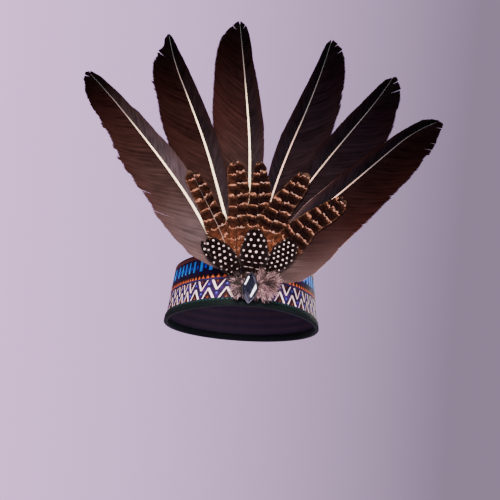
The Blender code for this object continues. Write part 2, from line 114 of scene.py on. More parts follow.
# Sizes of each kind of feather. barb_step is the distance from barb to barb, lean_trail and
# lean_lead how far a barb runs along the quill for each millimetre across
KINDS = {
    "wing": {
        "length": 240.0 * MM, "trailing": 36.0 * MM, "leading": 14.5 * MM,
        "quill_half": 1.9 * MM, "quill_tip": 0.3 * MM, "quill_rise": 0.9 * MM, "camber": 2.0 * MM,
        "barb_step": 0.78 * MM, "lean_trail": 1.1, "lean_lead": 1.7, "ragged": 0.03,
        "clump_shift": 0.16 * MM, "fluff": 0.3 * MM, "fluff_to": 0.18, "base_width": 0.0,
    },
    "barred": {
        "length": 96.0 * MM, "trailing": 11.0 * MM, "leading": 12.0 * MM,
        "quill_half": 0.55 * MM, "quill_tip": 0.15 * MM, "quill_rise": 0.3 * MM, "camber": 0.0,
        "barb_step": 0.46 * MM, "lean_trail": 1.0, "lean_lead": 1.0, "ragged": 0.08,
        "clump_shift": 0.25 * MM, "fluff": 1.3 * MM, "fluff_to": 0.5, "base_width": 5.5 * MM,
    },
    "guinea": {
        "length": 47.0 * MM, "trailing": 12.0 * MM, "leading": 14.0 * MM,
        "quill_half": 0.42 * MM, "quill_tip": 0.12 * MM, "quill_rise": 0.25 * MM, "camber": 0.0,
        "barb_step": 0.4 * MM, "lean_trail": 0.9, "lean_lead": 0.9, "ragged": 0.08,
        "clump_shift": 0.3 * MM, "fluff": 0.9 * MM, "fluff_to": 0.25, "base_width": 0.8 * MM,
    },
}
# Columns: name, kind, side of the trailing vane (1 left, -1 right), distance in front of the
# band at the fan centre and extra distance at the fan radius as shares of the level step,
# base across and base up from the fan centre as shares of the root spread, length as a share
# of the kind's length, trailing and leading vane widths as shares of the kind's widths, and
# quill angles from upright at even steps of the length in degrees (positive leans right)
Feather = namedtuple(
    "Feather", "name kind side level spread base_x base_z length trailing leading angles")
FEATHERS = tuple(Feather(*row) for row in (
    ("wing_feather_1", "wing", 1, 2.73, 5.4, -0.81, 0.09, 1.009, 1.01, 1.09,
     (-34.4, -29.6, -37.6, -41.5, -43.3, -48.7)),
    ("wing_feather_2", "wing", 1, 1.73, 2.7, -0.44, 0.43, 1.018, 1.00, 0.95,
     (-18.0, -17.9, -18.4, -23.4, -25.5, -12.4)),
    ("wing_feather_3", "wing", 1, 0.73, 0.0, -0.07, 0.67, 1.027, 0.98, 1.03,
     (-2.0, -1.0, -3.2, -7.7, -8.9, -9.4)),
    ("wing_feather_4", "wing", -1, 1.73, 2.7, 0.26, 0.58, 1.012, 0.89, 0.91,
     (8.4, 11.2, 16.3, 20.1, 16.6, 12.4)),
    ("wing_feather_5", "wing", -1, 2.73, 5.4, 0.44, 0.49, 0.978, 1.04, 0.91,
     (17.8, 27.3, 32.8, 35.4, 35.9, 29.3)),
    ("wing_feather_6", "wing", -1, 3.73, 8.2, 0.64, 0.15, 0.976, 1.18, 0.94,
     (26.3, 39.4, 45.9, 45.3, 46.0, 67.6)),
    ("barred_feather_1", "barred", 1, 3.85, 6.6, -0.96, 0.95, 0.951, 0.89, 0.81,
     (-18.0, -27.6, -30.6, -24.9)),
    ("barred_feather_2", "barred", 1, 4.45, 5.4, -0.57, 0.87, 1.008, 0.86, 1.01,
     (-6.7, -1.4, -4.0, -11.2)),
    ("barred_feather_3", "barred", 1, 3.35, 4.0, 0.00, 1.03, 1.001, 0.90, 1.02,
     (7.4, 6.8, 1.0, -8.0)),
    ("barred_feather_4", "barred", 1, 4.60, 9.0, 0.36, 0.90, 1.018, 1.18, 1.12,
     (16.9, 21.2, 27.1, 33.0)),
    ("barred_feather_5", "barred", 1, 5.45, 9.5, 0.71, 0.82, 1.046, 0.96, 1.17,
     (44.6, 44.1, 48.9, 53.0)),
    ("guinea_feather_1", "guinea", 1, 5.40, 9.0, -0.71, 0.03, 0.928, 0.32, 0.56,
     (-56.4, -53.1, -45.9, -34.7)),
    ("guinea_feather_2", "guinea", 1, 6.40, 10.0, -0.52, -0.12, 0.983, 0.67, 1.00,
     (-39.8, -40.4, -38.8, -34.7)),
    ("guinea_feather_3", "guinea", 1, 7.50, 11.5, 0.08, 0.00, 1.002, 1.04, 1.09,
     (6.5, 3.5, 1.7, 0.7)),
    ("guinea_feather_4", "guinea", 1, 6.50, 10.5, 0.45, 0.00, 1.089, 1.03, 0.81,
     (52.6, 43.9, 33.0, 24.5)),
))

# Outline of each feather: hundredths of its trailing width, then of its leading width, at places
# along it. The places are shares of the length, and go with the kind or with one feather
OUTLINE_PLACES = {
    "wing": (
        0.0, 0.03, 0.08, 0.15, 0.25, 0.35, 0.45, 0.55, 0.65, 0.75, 0.83, 0.89, 0.94, 0.975, 1.0,
    ),
    "barred": (0.0, 0.08, 0.18, 0.3, 0.42, 0.54, 0.66, 0.78, 0.88, 0.95, 1.0),
    "guinea": (0.0, 0.1, 0.22, 0.36, 0.5, 0.65, 0.8, 0.92, 1.0),
    "wing_feather_1": (
        0.0, 0.03, 0.08, 0.15, 0.25, 0.35, 0.45, 0.55, 0.65, 0.75, 0.79, 0.84, 0.875, 0.91, 0.95,
        0.99, 1.0,
    ),
    "wing_feather_2": (
        0.0, 0.03, 0.08, 0.15, 0.25, 0.35, 0.45, 0.55, 0.65, 0.75, 0.83, 0.89, 0.93, 0.943,
        0.952, 0.98, 1.0,
    ),
}
OUTLINES = {
    "wing_feather_1": (
        (3, 14, 40, 70, 89, 98, 94, 95, 91, 71, 70, 61, 61, 55, 43, 24, 12),
        (6, 29, 54, 67, 78, 88, 96, 97, 83, 75, 60, 56, 51, 44, 38, 19, 5),
    ),
    "wing_feather_2": (
        (3, 17, 38, 62, 85, 93, 97, 97, 97, 83, 78, 62, 41, 29, 20, 14, 0),
        (7, 26, 43, 55, 68, 84, 95, 99, 92, 85, 78, 62, 47, 42, 38, 23, 0),
    ),
    "wing_feather_3": (
        (3, 13, 30, 50, 73, 88, 98, 100, 98, 89, 80, 69, 54, 29, 0),
        (7, 22, 33, 50, 64, 77, 93, 100, 92, 80, 65, 63, 57, 43, 0),
    ),
    "wing_feather_4": (
        (3, 14, 30, 49, 73, 90, 98, 99, 98, 92, 80, 70, 54, 36, 0),
        (8, 33, 46, 56, 64, 74, 91, 99, 90, 78, 62, 50, 41, 31, 0),
    ),
    "wing_feather_5": (
        (3, 16, 32, 48, 66, 82, 93, 99, 99, 92, 77, 61, 49, 33, 16),
        (8, 20, 32, 45, 75, 80, 83, 94, 98, 93, 79, 67, 54, 38, 0),
    ),
    "wing_feather_6": (
        (2, 61, 84, 96, 100, 95, 92, 87, 82, 77, 67, 61, 47, 31, 17),
        (7, 16, 30, 54, 82, 98, 97, 99, 89, 73, 65, 59, 57, 35, 7),
    ),
    "barred_feather_1": (
        (10, 56, 84, 98, 99, 100, 97, 96, 95, 95, 59),
        (10, 41, 58, 74, 85, 82, 90, 97, 69, 41, 0),
    ),
    "barred_feather_2": (
        (11, 22, 38, 55, 71, 82, 95, 100, 92, 72, 0),
        (8, 20, 36, 50, 54, 80, 99, 95, 76, 50, 0),
    ),
    "barred_feather_3": (
        (10, 31, 54, 81, 100, 95, 96, 87, 58, 37, 0),
        (8, 13, 24, 41, 58, 79, 99, 84, 57, 38, 0),
    ),
    "barred_feather_4": (
        (8, 24, 38, 59, 94, 93, 84, 62, 46, 31, 0),
        (7, 28, 52, 80, 99, 88, 88, 99, 90, 78, 60),
    ),
    "barred_feather_5": (
        (9, 48, 63, 73, 90, 99, 95, 77, 60, 43, 0),
        (7, 48, 73, 95, 97, 85, 86, 89, 82, 68, 0),
    ),
    "guinea_feather_1": (
        (26, 95, 79, 63, 84, 99, 77, 42, 0),
        (13, 35, 57, 77, 90, 97, 98, 82, 46),
    ),
    "guinea_feather_2": (
        (12, 49, 62, 72, 87, 100, 96, 82, 48),
        (7, 57, 76, 91, 98, 95, 77, 41, 0),
    ),
    "guinea_feather_3": (
        (8, 59, 87, 99, 100, 95, 80, 51, 0),
        (7, 48, 80, 97, 98, 91, 75, 46, 0),
    ),
    "guinea_feather_4": (
        (8, 26, 41, 63, 88, 99, 89, 56, 0),
        (9, 19, 36, 67, 90, 99, 89, 65, 0),
    ),
}

# Splits in the vanes. Columns: feather, is it in the trailing vane, place along the edge and
# depth as shares, opening at the edge
SPLITS = (
    ("wing_feather_1", True, 0.385, 0.85, 0.9 * MM),
    ("wing_feather_1", True, 0.49, 0.45, 1.2 * MM),
    ("wing_feather_2", True, 0.935, 0.55, 1.6 * MM),
    ("wing_feather_3", True, 0.982, 0.80, 1.3 * MM),
    ("wing_feather_3", False, 0.980, 0.80, 1.1 * MM),
    ("wing_feather_4", True, 0.985, 0.65, 1.3 * MM),
    ("wing_feather_4", True, 0.968, 0.45, 1.2 * MM),
    ("wing_feather_5", True, 0.972, 0.75, 1.5 * MM),
    ("wing_feather_6", True, 0.913, 0.40, 1.1 * MM),
    ("wing_feather_6", True, 0.942, 0.35, 1.0 * MM),
)
SPLIT_REACH = 0.008
# The small feathers end in a round cap that starts at this share of the length
CAP_FROM = 0.86
# How ragged the trailing edge of a feather is beside its kind
RAGGED = {"wing_feather_1": 2.4, "wing_feather_2": 2.8, "wing_feather_6": 1.4}
# The outline is read in fine steps, and evened out over some of them to find the barbs' roots
EDGE_STEPS = 1601
CALM_REACH = 90
CALM_SPREAD = 32.0
CALM_LIMIT = 6.0 * MM
ROOT_BEND = 0.03
LAST_ROOT = 0.992
LEAST_TRAVEL = 0.8
# Places along a barb, its width there, and how it lies on its neighbour
BARB_STATIONS = (0.0, 0.12, 0.27, 0.43, 0.59, 0.74, 0.86, 0.95, 1.0)
BARB_TAPER = (1.0, 1.0, 1.0, 1.0, 1.0, 1.0, 1.0, 0.85, 0.4)
BARB_OVERLAP = 1.4
BARB_RIDGE = 0.1 * MM
BARB_TILT = 0.05 * MM
THINNEST_BARB = 0.09 * MM
CLUMP_DEPTH = 0.05 * MM
CLUMP_SIZES = (3, 14)
# Barb order is spread out by this much for the noise that runs over it
ORDER_SCALE = 100.0
QUILL_SIDES = 10
QUILL_STATIONS = 64
QUILL_END = 0.985
QUILL_BACK = 0.45 * MM
# Quills thinner than their kind's
QUILL_SHARES = {
    "wing_feather_4": 0.7, "wing_feather_5": 0.65, "wing_feather_6": 0.6,
    "barred_feather_1": 0.55,
}

# Down tufts. Each is a bunch of small plumes that spread from a root beside the stone. Tips
# are in mm, and the locks are shares of the reach at even turns round the centre
TUFT_FRONT = 10.2 * MM
TUFT_LOW = 12.0 * MM
TUFT_CLEARANCE = 1.6 * MM
GOLDEN_ANGLE = 2.399963
PLUME_LENGTHS = (5.0 * MM, 12.0 * MM)
STRAND_WIDTHS = (0.7, 1.0, 1.0, 0.9, 0.65, 0.15)
STRAND_THICKNESS = (0.08, 0.19)
TUFTS = (
    {
        "name": "down_right", "piece": "right_down", "seed": 71,
        "centre": (16.0 * MM, 17.3 * MM), "reach": 17.2 * MM, "root": (5.5 * MM, 17.5 * MM),
        "bulge": 3.6 * MM, "plumes": 64, "strands": 64,
        "more_tips": ((4.0, 30.0), (8.5, 31.5), (12.5, 32.5), (22.0, 32.5), (3.0, 27.5)),
        "locks": (0.75, 0.87, 0.97, 0.98, 0.93, 0.92, 0.91, 0.90, 0.79, 0.73, 0.78, 1.00, 0.98,
                  0.93, 0.82, 0.69, 0.70, 0.79),
        "finish": ("right down", "2a1b1a", "705a57", "ac9694"),
    },
    {
        "name": "down_left", "piece": "left_down", "seed": 72,
        "centre": (-12.3 * MM, 13.8 * MM), "reach": 13.7 * MM, "root": (-6.0 * MM, 18.0 * MM),
        "bulge": 1.8 * MM, "plumes": 40, "strands": 60,
        "more_tips": ((-4.5, 28.5), (-8.0, 29.5), (-12.0, 29.0), (-16.0, 28.0), (-20.0, 26.0),
                      (-10.0, 26.0)),
        "locks": (0.59, 0.66, 0.84, 1.00, 0.94, 0.86, 0.77, 0.62, 0.54, 0.50, 0.53, 0.67, 0.77,
                  0.91, 0.92, 0.73),
        "finish": ("left down", "1a1212", "4c3e3a", "7c6a66"),
    },
)

# Shades along the vanes of the wing feathers: share of the length and colour
MIDDLE_TRAIL = (
    (0.0, "665450"), (0.35, "4a3531"), (0.6, "3a211e"), (0.8, "190b0a"), (0.9, "0e0504"),
    (1.0, "040202"),
)
MIDDLE_LEAD = (
    (0.0, "524144"), (0.3, "3e3234"), (0.6, "251b1d"), (0.8, "120a0b"), (0.92, "060304"),
    (1.0, "030202"),
)
OUTER_TRAIL = (
    (0.0, "8c746f"), (0.2, "786260"), (0.4, "4e3834"), (0.65, "3a231f"), (0.84, "220f0d"),
    (0.95, "0c0504"), (1.0, "080303"),
)
OUTER_LEAD = (
    (0.0, "6e5c5f"), (0.3, "6b5a5d"), (0.5, "645356"), (0.62, "4c3e40"), (0.8, "302423"),
    (0.93, "0a0505"), (1.0, "060303"),
)
LEFT_TRAIL = (
    (0.0, "5c4641"), (0.3, "442e2a"), (0.55, "341d1a"), (0.8, "180907"), (0.9, "080303"),
    (1.0, "030101"),
)
RIGHT_TRAIL = (
    (0.0, "54403c"), (0.35, "2c1e20"), (0.65, "171014"), (0.85, "0b0508"), (1.0, "030203"),
)
RIGHT_LEAD = (
    (0.0, "4a3e42"), (0.35, "231c21"), (0.65, "0f0a0e"), (0.85, "070407"), (1.0, "030203"),
)
FAR_TRAIL = (
    (0.0, "7c6662"), (0.12, "624c48"), (0.2, "3c2724"), (0.3, "301b19"), (0.42, "2c1816"),
    (0.6, "180a0a"), (0.85, "0e0505"), (1.0, "060302"),
)
# Columns: feather, name of the finish, trailing and leading shades, edge colour, pale border.
# The row called right serves the wing feathers that have none of their own
WING_FINISHES = (
    ("wing_feather_1", "wing vane, outer left", OUTER_TRAIL, OUTER_LEAD, "6a3c34", 0.35),
    ("wing_feather_2", "wing vane, left", LEFT_TRAIL, MIDDLE_LEAD, "44221e"),
    ("wing_feather_3", "wing vane, middle", MIDDLE_TRAIL, MIDDLE_LEAD, "5a2c26"),
    ("wing_feather_6", "wing vane, outer right", FAR_TRAIL, RIGHT_LEAD, "52261f", 0.6),
    ("right", "wing vane, right", RIGHT_TRAIL, RIGHT_LEAD, "3c1c18"),
)
BARRED_FINISHES = (("warm", "barred vane, warm", 0.24), ("dark", "barred vane, dark", 0.01))
WARM_BARRED = ("barred_feather_1", "barred_feather_2")
# Columns: feather, name of the finish, spacing of the dots, how far they run into dashes
DOTTED_FINISHES = (
    ("guinea_feather_1", "dotted vane, left", 0.54, 0.0),
    ("guinea_feather_2", "dotted vane, inner left", 0.56, 0.4),
    ("guinea_feather_3", "dotted vane, middle", 0.61, 1.0),
    ("guinea_feather_4", "dotted vane, right", 0.49, 0.0),
)
# Columns: name of the finish, base and middle colours, where it starts and ends fading, shine
QUILL_FINISHES = (
    ("pale quill", "fbf0e8", "a09088", 0.62, 0.91),
    ("tan quill", "e0d3cb", "8c807e", 0.42, 0.9),
    ("thin quill", "2c1c16", "20140f", 0.6, 1.0, 0.02),
    ("grey quill", "a89a94", "4a3c38", 0.5, 0.9),
)
GREY_QUILLED = ("barred_feather_1", "guinea_feather_1")


# Shapes that several pieces share
def band_front(across, rise):
    inset = BAND_LEAN * rise / BAND_HEIGHT
    half_width = BAND_HALF_WIDTH - inset
    sine = 1.0
    for _ in range(EGG_ROUNDS):
        cosine = across / (half_width * (1.0 - BAND_EGG * sine))
        sine = math.sqrt(max(0.0, 1.0 - cosine * cosine))
    return -(BAND_HALF_DEPTH - inset) * sine


FAN_FRONT = -band_front(0.0, FAN_CENTRE_Z)


def smooth_step(values, low, high):
    share = np.clip((values - low) / (high - low), 0.0, 1.0)
    return share * share * (3.0 - 2.0 * share)


def running_sum(steps):
    return np.concatenate(([0.0], np.cumsum(steps)))


def unit(vectors):
    return vectors / np.maximum(np.linalg.norm(vectors, axis=-1, keepdims=True), 1e-9)


def finish_piece(name, points, faces, materials, slots=None, smooth=False):
    mesh = bpy.data.meshes.new(name)
    mesh.from_pydata(points.tolist(), [], faces)
    for material in materials:
        mesh.materials.append(material)
    if slots is not None:
        mesh.polygons.foreach_set("material_index", slots)
    mesh.polygons.foreach_set("use_smooth", [smooth] * len(mesh.polygons))
    piece = bpy.data.objects.new(name, mesh)
    bpy.context.scene.collection.objects.link(piece)
    return piece


def add_map(mesh, name, corners):
    layer = mesh.uv_layers.new(name=name)
    layer.data.foreach_set("uv", np.asarray(corners, dtype=np.float32).ravel())


def add_values(mesh, name, values):
    layer = mesh.attributes.new(name, "FLOAT", "POINT")
    layer.data.foreach_set("value", np.asarray(values, dtype=np.float32))


def read(items, name, kind=float, width=1):
    found = np.empty(len(items) * width, dtype=kind)
    items.foreach_get(name, found)
    return found.reshape(-1, width) if width > 1 else found


def looks_back(first, second, third):
    # Whether a face through these corners looks away from the front
    return np.cross(second - first, third - first)[1] > 0.0


def strip_faces(strips, rungs, base, turn):
    # Faces of thin strips with three points to a rung, and whether each one lies at the back
    faces, is_back = [], []
    for start in range(base, base + strips * rungs * 3, rungs * 3):
        last = start + (rungs - 1) * 3
        for here in range(start, last, 3):
            for side, nearby in ((0, 1), (1, 2), (2, 0)):
                faces.append((here + side, here + nearby, here + 3 + nearby, here + 3 + side))
                is_back.append(side == 2)
        faces += ((start, start + 2, start + 1), (last, last + 1, last + 2))
        is_back += (False, False)
    return [face[::-1] for face in faces] if turn else faces, is_back


# Feathers
def feather_surface(row):
    # Gives a function from distance along the quill and offset from it to a place on the fan
    sizes = KINDS[row.kind]
    full = row.length * sizes["length"]
    knots = np.radians(np.array(row.angles))
    knot_places = np.linspace(0.0, 1.0, len(knots))
    turns = np.interp((np.arange(PATH_STEPS) + 0.5) / PATH_STEPS, knot_places, knots)
    stride = full / PATH_STEPS
    xs = FAN_CENTRE_X + row.base_x * ROOT_SPREAD + running_sum(np.sin(turns)) * stride
    zs = FAN_CENTRE_Z + row.base_z * ROOT_SPREAD + running_sum(np.cos(turns)) * stride
    grid = np.arange(PATH_STEPS + 1) * stride

    def place(along, offset, proud):
        angle = np.interp(along / full, knot_places, knots)
        past = along - np.clip(along, 0.0, full)
        x = np.interp(along, grid, xs) + past * np.sin(angle) - np.cos(angle) * row.side * offset
        z = np.interp(along, grid, zs) + past * np.cos(angle) + np.sin(angle) * row.side * offset
        reach = np.hypot(x - FAN_CENTRE_X, z - FAN_CENTRE_Z)
        forward = LEVEL_STEP * (row.level + row.spread * reach / FAN_RADIUS)
        bend = sizes["camber"] * reach / FAN_RADIUS * (offset / sizes["trailing"]) ** 2
        y = -FAN_FRONT - forward + FAN_LEAN * reach - reach ** 2 / FAN_CURL - bend
        return np.stack([x, y - proud, z], axis=-1)

    return full, place


def vane_width(row, is_trailing, edge):
    # Width of one vane at each share of the feather's length
    sizes = KINDS[row.kind]
    size = sizes["trailing"] * row.trailing if is_trailing else sizes["leading"] * row.leading
    places = OUTLINE_PLACES.get(row.name, OUTLINE_PLACES[row.kind])
    shares = np.array(OUTLINES[row.name][0 if is_trailing else 1]) / 100.0
    width = np.interp(edge, places, shares) * size
    if row.kind != "wing":
        bow = np.sqrt(np.clip(1.0 - ((edge - CAP_FROM) / (1.0 - CAP_FROM)) ** 2, 0.0, 1.0))
        cap = np.interp(CAP_FROM, edge, width) * bow
        width = np.where(edge > CAP_FROM, np.maximum(width, cap), width)
    return width


def barb_roots(edge, width, lean, full):
    # Where on the quill, as a share of the length, the barb that ends at each place starts
    kernel = np.exp(-0.5 * (np.arange(-CALM_REACH, CALM_REACH + 1) / CALM_SPREAD) ** 2)
    kernel /= kernel.sum()
    calm = np.convolve(np.pad(width, CALM_REACH, mode="edge"), kernel, mode="valid")
    calm = np.minimum(calm, width + CALM_LIMIT)
    back = np.maximum.accumulate(edge - lean * calm / full) + 1e-4 * edge
    root = 0.5 * (back + np.sqrt(back ** 2 + ROOT_BEND ** 2))
    return root - 0.5 * (math.sqrt(1.0 + ROOT_BEND ** 2) - 1.0) * edge


def lay_barbs(row, is_trailing, seed):
    # One vane: the middle line and half width of each barb, in the feather's own plane
    sizes = KINDS[row.kind]
    full = row.length * sizes["length"]
    dice = np.random.default_rng(seed)
    edge = np.linspace(0.0, 1.0, EDGE_STEPS)
    width = vane_width(row, is_trailing, edge)
    root = barb_roots(edge, width, sizes["lean_trail" if is_trailing else "lean_lead"], full)
    travel = np.maximum(np.diff(root), LEAST_TRAVEL * np.diff(edge)) * full / sizes["barb_step"]
    count_up = running_sum(travel)
    total = int(count_up[-1]) - 1
    ends = np.interp(np.arange(total) + 0.7, count_up, edge)
    starts = np.interp(ends, edge, root)
    outer = np.interp(ends, edge, width)
    spread = (1.0 - smooth_step(ends, 0.25, 0.62)) * dice.uniform(0.6, 1.0, total)
    outer = outer + sizes["base_width"] * spread * smooth_step(ends, 0.0, 0.12)
    # Barbs that close a blunt tip
    blunt = float(width[-1])
    extra = int(blunt / (0.6 * sizes["barb_step"]))
    if extra > 0:
        share = (np.arange(extra) + 1.0) / (extra + 1.0)
        ends = np.concatenate([ends, 1.0 + 0.35 * blunt / full * np.sin(math.pi * share)])
        starts = np.concatenate([starts, starts[-1] + (LAST_ROOT - starts[-1]) * share])
        outer = np.concatenate([outer, blunt * (1.0 - share)])
        total += extra

    # Barbs cling together in clumps
    clump = np.zeros(total, dtype=int)
    place = number = 0
    while place < total:
        size = int(dice.integers(*CLUMP_SIZES))
        clump[place:place + size] = number
        place += size
        number += 1
    shift = dice.normal(0.0, 1.0, number)[clump]
    short = np.abs(dice.normal(0.0, 1.0, number))[clump]
    tone = dice.uniform(-1.0, 1.0, number)[clump]
    fine = dice.uniform(-1.0, 1.0, total)
    torn = sizes["ragged"] * (RAGGED.get(row.name, 1.0) if is_trailing else 1.0)
    stop = 1.02 - torn * (0.45 * short + 0.35 * np.abs(fine))

    station = np.array(BARB_STATIONS)[None, :] * stop[:, None]
    run = (ends - starts)[:, None] * full
    along = starts[:, None] * full + run * (0.7 * station + 0.3 * station ** 2)
    offset = outer[:, None] * (1.12 * station - 0.12 * station ** 2)

    # Half widths come from the distance to the next barb
    tangent = unit(np.stack([np.gradient(along, axis=1), np.gradient(offset, axis=1)], axis=-1))
    step = np.stack([np.diff(along, axis=0), np.diff(offset, axis=0)], axis=-1)
    apart = np.abs(tangent[:-1, :, 0] * step[..., 1] - tangent[:-1, :, 1] * step[..., 0])
    apart = np.concatenate([apart[:1], apart, apart[-1:]], axis=0)
    half = 0.5 * BARB_OVERLAP * 0.5 * (apart[:-1] + apart[1:])
    half = np.clip(half, THINNEST_BARB, 0.75 * sizes["barb_step"])
    half *= np.array(BARB_TAPER)[None, :]

    for name, in_trailing, split_place, depth, opening in SPLITS:
        if name == row.name and in_trailing == is_trailing:
            distance = ends - split_place
            push = np.sign(distance) * np.exp(-np.abs(distance) / SPLIT_REACH) * opening / 2.0
            along = along + push[:, None] * smooth_step(station, 1.0 - depth, 1.0)
    along = along + (shift * sizes["clump_shift"])[:, None] * station ** 2 * 0.6
    loose = sizes["fluff"] * (1.0 - smooth_step(ends, 0.3 * sizes["fluff_to"], sizes["fluff_to"]))
    rate = dice.uniform(4.0, 9.0, total)[:, None]
    wave = np.sin(station * rate + dice.uniform(0.0, 6.3, total)[:, None])
    along = along + loose[:, None] * wave * station
    lift = (tone * CLUMP_DEPTH)[:, None] * station
    lift = lift + 0.3 * loose[:, None] * np.cos(wave * 3.0) * station
    normal = np.stack([-tangent[..., 1], tangent[..., 0]], axis=-1)
    # Tone of each barb by clump: partly its own colour, partly painted shade between clumps
    strand = 0.5 + 0.28 * tone + 0.2 * fine
    return along, offset, half, normal, lift, station, strand, starts * full


def build_quill(row, full, place, base):
    # A tapered closed tube: its points, their places in the plane, faces, and which lie behind
    sizes = KINDS[row.kind]
    rungs = np.linspace(0.0, QUILL_END, QUILL_STATIONS)[:, None] * full
    turns = (np.arange(QUILL_SIDES) * 2.0 * math.pi / QUILL_SIDES)[None, :]
    taper = (rungs / full) ** 0.85
    base_half = sizes["quill_half"] * QUILL_SHARES.get(row.name, 1.0)
    half = base_half * (1.0 - taper) + sizes["quill_tip"] * taper
    rise = (0.25 * MM + sizes["quill_rise"]) * (1.0 - 0.75 * rungs / full)
    across = np.cos(turns) * half
    proud = np.where(np.sin(turns) > 0.0, np.sin(turns) * rise, np.sin(turns) * QUILL_BACK)
    along = np.broadcast_to(rungs, across.shape)
    points = place(along, across, proud).reshape(-1, 3)
    ring = base + np.arange(QUILL_SIDES)
    faces, is_back = [tuple(ring[::-1].tolist())], [False]
    for here in range(base, base + (QUILL_STATIONS - 1) * QUILL_SIDES, QUILL_SIDES):
        for corner in range(QUILL_SIDES):
            nearby = (corner + 1) % QUILL_SIDES
            after = here + QUILL_SIDES
            faces.append((here + corner, here + nearby, after + nearby, after + corner))
            is_back.append(corner >= QUILL_SIDES // 2)
    faces.append(tuple((ring + (QUILL_STATIONS - 1) * QUILL_SIDES).tolist()))
    is_back.append(False)
    if looks_back(*(points[corner - base] for corner in faces[3][:3])):
        faces = [face[::-1] for face in faces]
    return points, np.stack([along, across], axis=-1).reshape(-1, 2), faces, is_back


def build_feather(row, vane, quill, seed):
    full, place = feather_surface(row)
    # Points with their place in the plane, reach along the barb, strand tone and barb order
    parts = []
    faces, is_back, slots = [], [], []
    base = 0
    for is_trailing in (True, False):
        laid = lay_barbs(row, is_trailing, seed + is_trailing)
        along, offset, half, normal, lift, station, strand, order = laid
        hand = 1.0 if is_trailing else -1.0
        count, stations = along.shape
        low_a, high_a = along - normal[..., 0] * half, along + normal[..., 0] * half
        low_o = np.maximum(offset - normal[..., 1] * half, 0.0)
        high_o = np.maximum(offset + normal[..., 1] * half, 0.0)
        ridge = BARB_RIDGE * np.minimum(1.0, half / (0.3 * MM))
        left = place(low_a, low_o * hand, lift + BARB_TILT)
        top = place(along, offset * hand, lift + ridge)
        right = place(high_a, high_o * hand, lift - BARB_TILT)
        flat_a = np.stack([low_a, along, high_a], axis=2).reshape(-1)
        flat_o = np.stack([low_o, offset, high_o], axis=2).reshape(-1) * hand
        parts.append((
            np.stack([left, top, right], axis=2).reshape(-1, 3), np.stack([flat_a, flat_o], axis=-1),
            np.repeat(station.reshape(-1), 3), np.repeat(strand, stations * 3),
            np.repeat(order, stations * 3) * (ORDER_SCALE * hand),
        ))
        turn = looks_back(left[0, 3], top[0, 3], top[0, 4])
        more_faces, more_backs = strip_faces(count, stations, base, turn)
        faces += more_faces
        is_back += more_backs
        slots += [0] * len(more_faces)
        base += count * stations * 3
    points, plane, more_faces, more_backs = build_quill(row, full, place, base)
    nothing = np.zeros(len(points))
    parts.append((points, plane, nothing, nothing + 0.5, nothing))
    faces += more_faces
    is_back += more_backs
    slots += [1] * len(more_faces)

    points, plane, reach, strand, order = (np.concatenate(column) for column in zip(*parts))
    name = row.name.replace("feather", "vane")
    piece = finish_piece(name, points, faces, (vane, quill), slots)
    mesh = piece.data
    corners = read(mesh.loops, "vertex_index", np.int32)
    behind = np.repeat(np.array(is_back), [len(face) for face in faces])
    add_map(mesh, "plane", plane[corners] / (10.0 * MM))
    # Bake map: the front half below, the back half above
    low, high = plane[:, 1].min(), plane[:, 1].max()
    sheet_u = 0.01 + 0.98 * (plane[corners, 0] - plane[:, 0].min()) / np.ptp(plane[:, 0])
    sheet_v = 0.01 + 0.47 * (plane[corners, 1] - low) / (high - low) + 0.5 * behind
    add_map(mesh, "OFBake", np.stack([sheet_u, sheet_v], axis=-1))
    add_values(mesh, "along", plane[:, 0] / full)
    add_values(mesh, "reach", reach)
    add_values(mesh, "strand", strand)
    add_values(mesh, "order", order)
    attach(piece, "root")
    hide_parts(row.name)
    return piece


# Materials. Brightness seen in the picture, and the light that gives it
SEEN = (0, 5, 10, 15, 20, 25, 30, 40, 50, 60, 80, 100, 120, 150, 180, 200, 215, 225, 235, 245)
GIVEN = (0.0008, 0.0029, 0.0056, 0.0077, 0.0109, 0.0143, 0.0189, 0.0277, 0.0405, 0.0554, 0.0899,
         0.1363, 0.1928, 0.3356, 0.6713, 1.129, 1.899, 2.685, 4.516, 7.336)
FRONT_LIGHT = 4.2
VIVID = 1.12
DARKEST = 0.0005
PALEST = 0.92
# Depths of the finest relief
BARB_RELIEF = 0.1 * MM
CLOTH_RELIEF = 0.15 * MM
TAPE_RELIEF = 0.2 * MM
# Distance from one pale bar of a barred feather to the next, in centimetres as its map
BAR_STEP = 1.08
# Threads to a chevron and to the band's height
RIBBON_THREADS = (36.0, 130.0)
TAPE_THREADS = (22.0, 150.0)
# Rows of small motifs on the ribbon. Columns: colour, heights of the row's edges as shares of
# the band's, motifs to a chevron, their shift, and half the width of one as a share of its step
SMALL_MOTIFS = (
    ("2a6e60", 0.092, 0.122, 4.5, 0.0, 0.25),
    ("5a90e0", 0.715, 0.785, 4.0 / 3.0, 0.733, 0.12),
    ("3860b4", 0.81, 0.85, 4.0 / 3.0, 0.733, 0.07),
)
# Triangles of the orange row and their pale middles. Columns: colour, base height, top height,
# half width at the base
ROW_TRIANGLES = (("c08a5c", 0.512, 0.587, 0.42), ("f0c898", 0.516, 0.56, 0.24))
ROW_TRIANGLE_SLOPE = -5.6
DOT_SIZES = (("54509c", 0.085), ("9c98dc", 0.045))
# Painted highlights on the foil-backed stone's facets where the lights flash, and duller painted
# reflections: corners across and up, in mm
PAINTED_HIGHLIGHTS = (
    ((-2.3, 25.7), (-1.4, 24.6), (-4.9, 16.4), (-5.9, 17.4)),
    ((4.8, 18.4), (5.9, 14.6), (1.2, 5.2), (-0.1, 6.1)),
)
PAINTED_DULL_REFLECTIONS = (
    ((1.0, 27.2), (3.2, 25.0), (6.6, 16.0), (4.8, 17.2), (2.6, 23.0)),
    ((5.9, 13.4), (6.4, 15.0), (3.4, 5.5), (1.7, 3.4)),
    ((-5.2, 7.6), (-4.4, 8.2), (-1.4, 2.2), (-1.9, 1.6)),
)


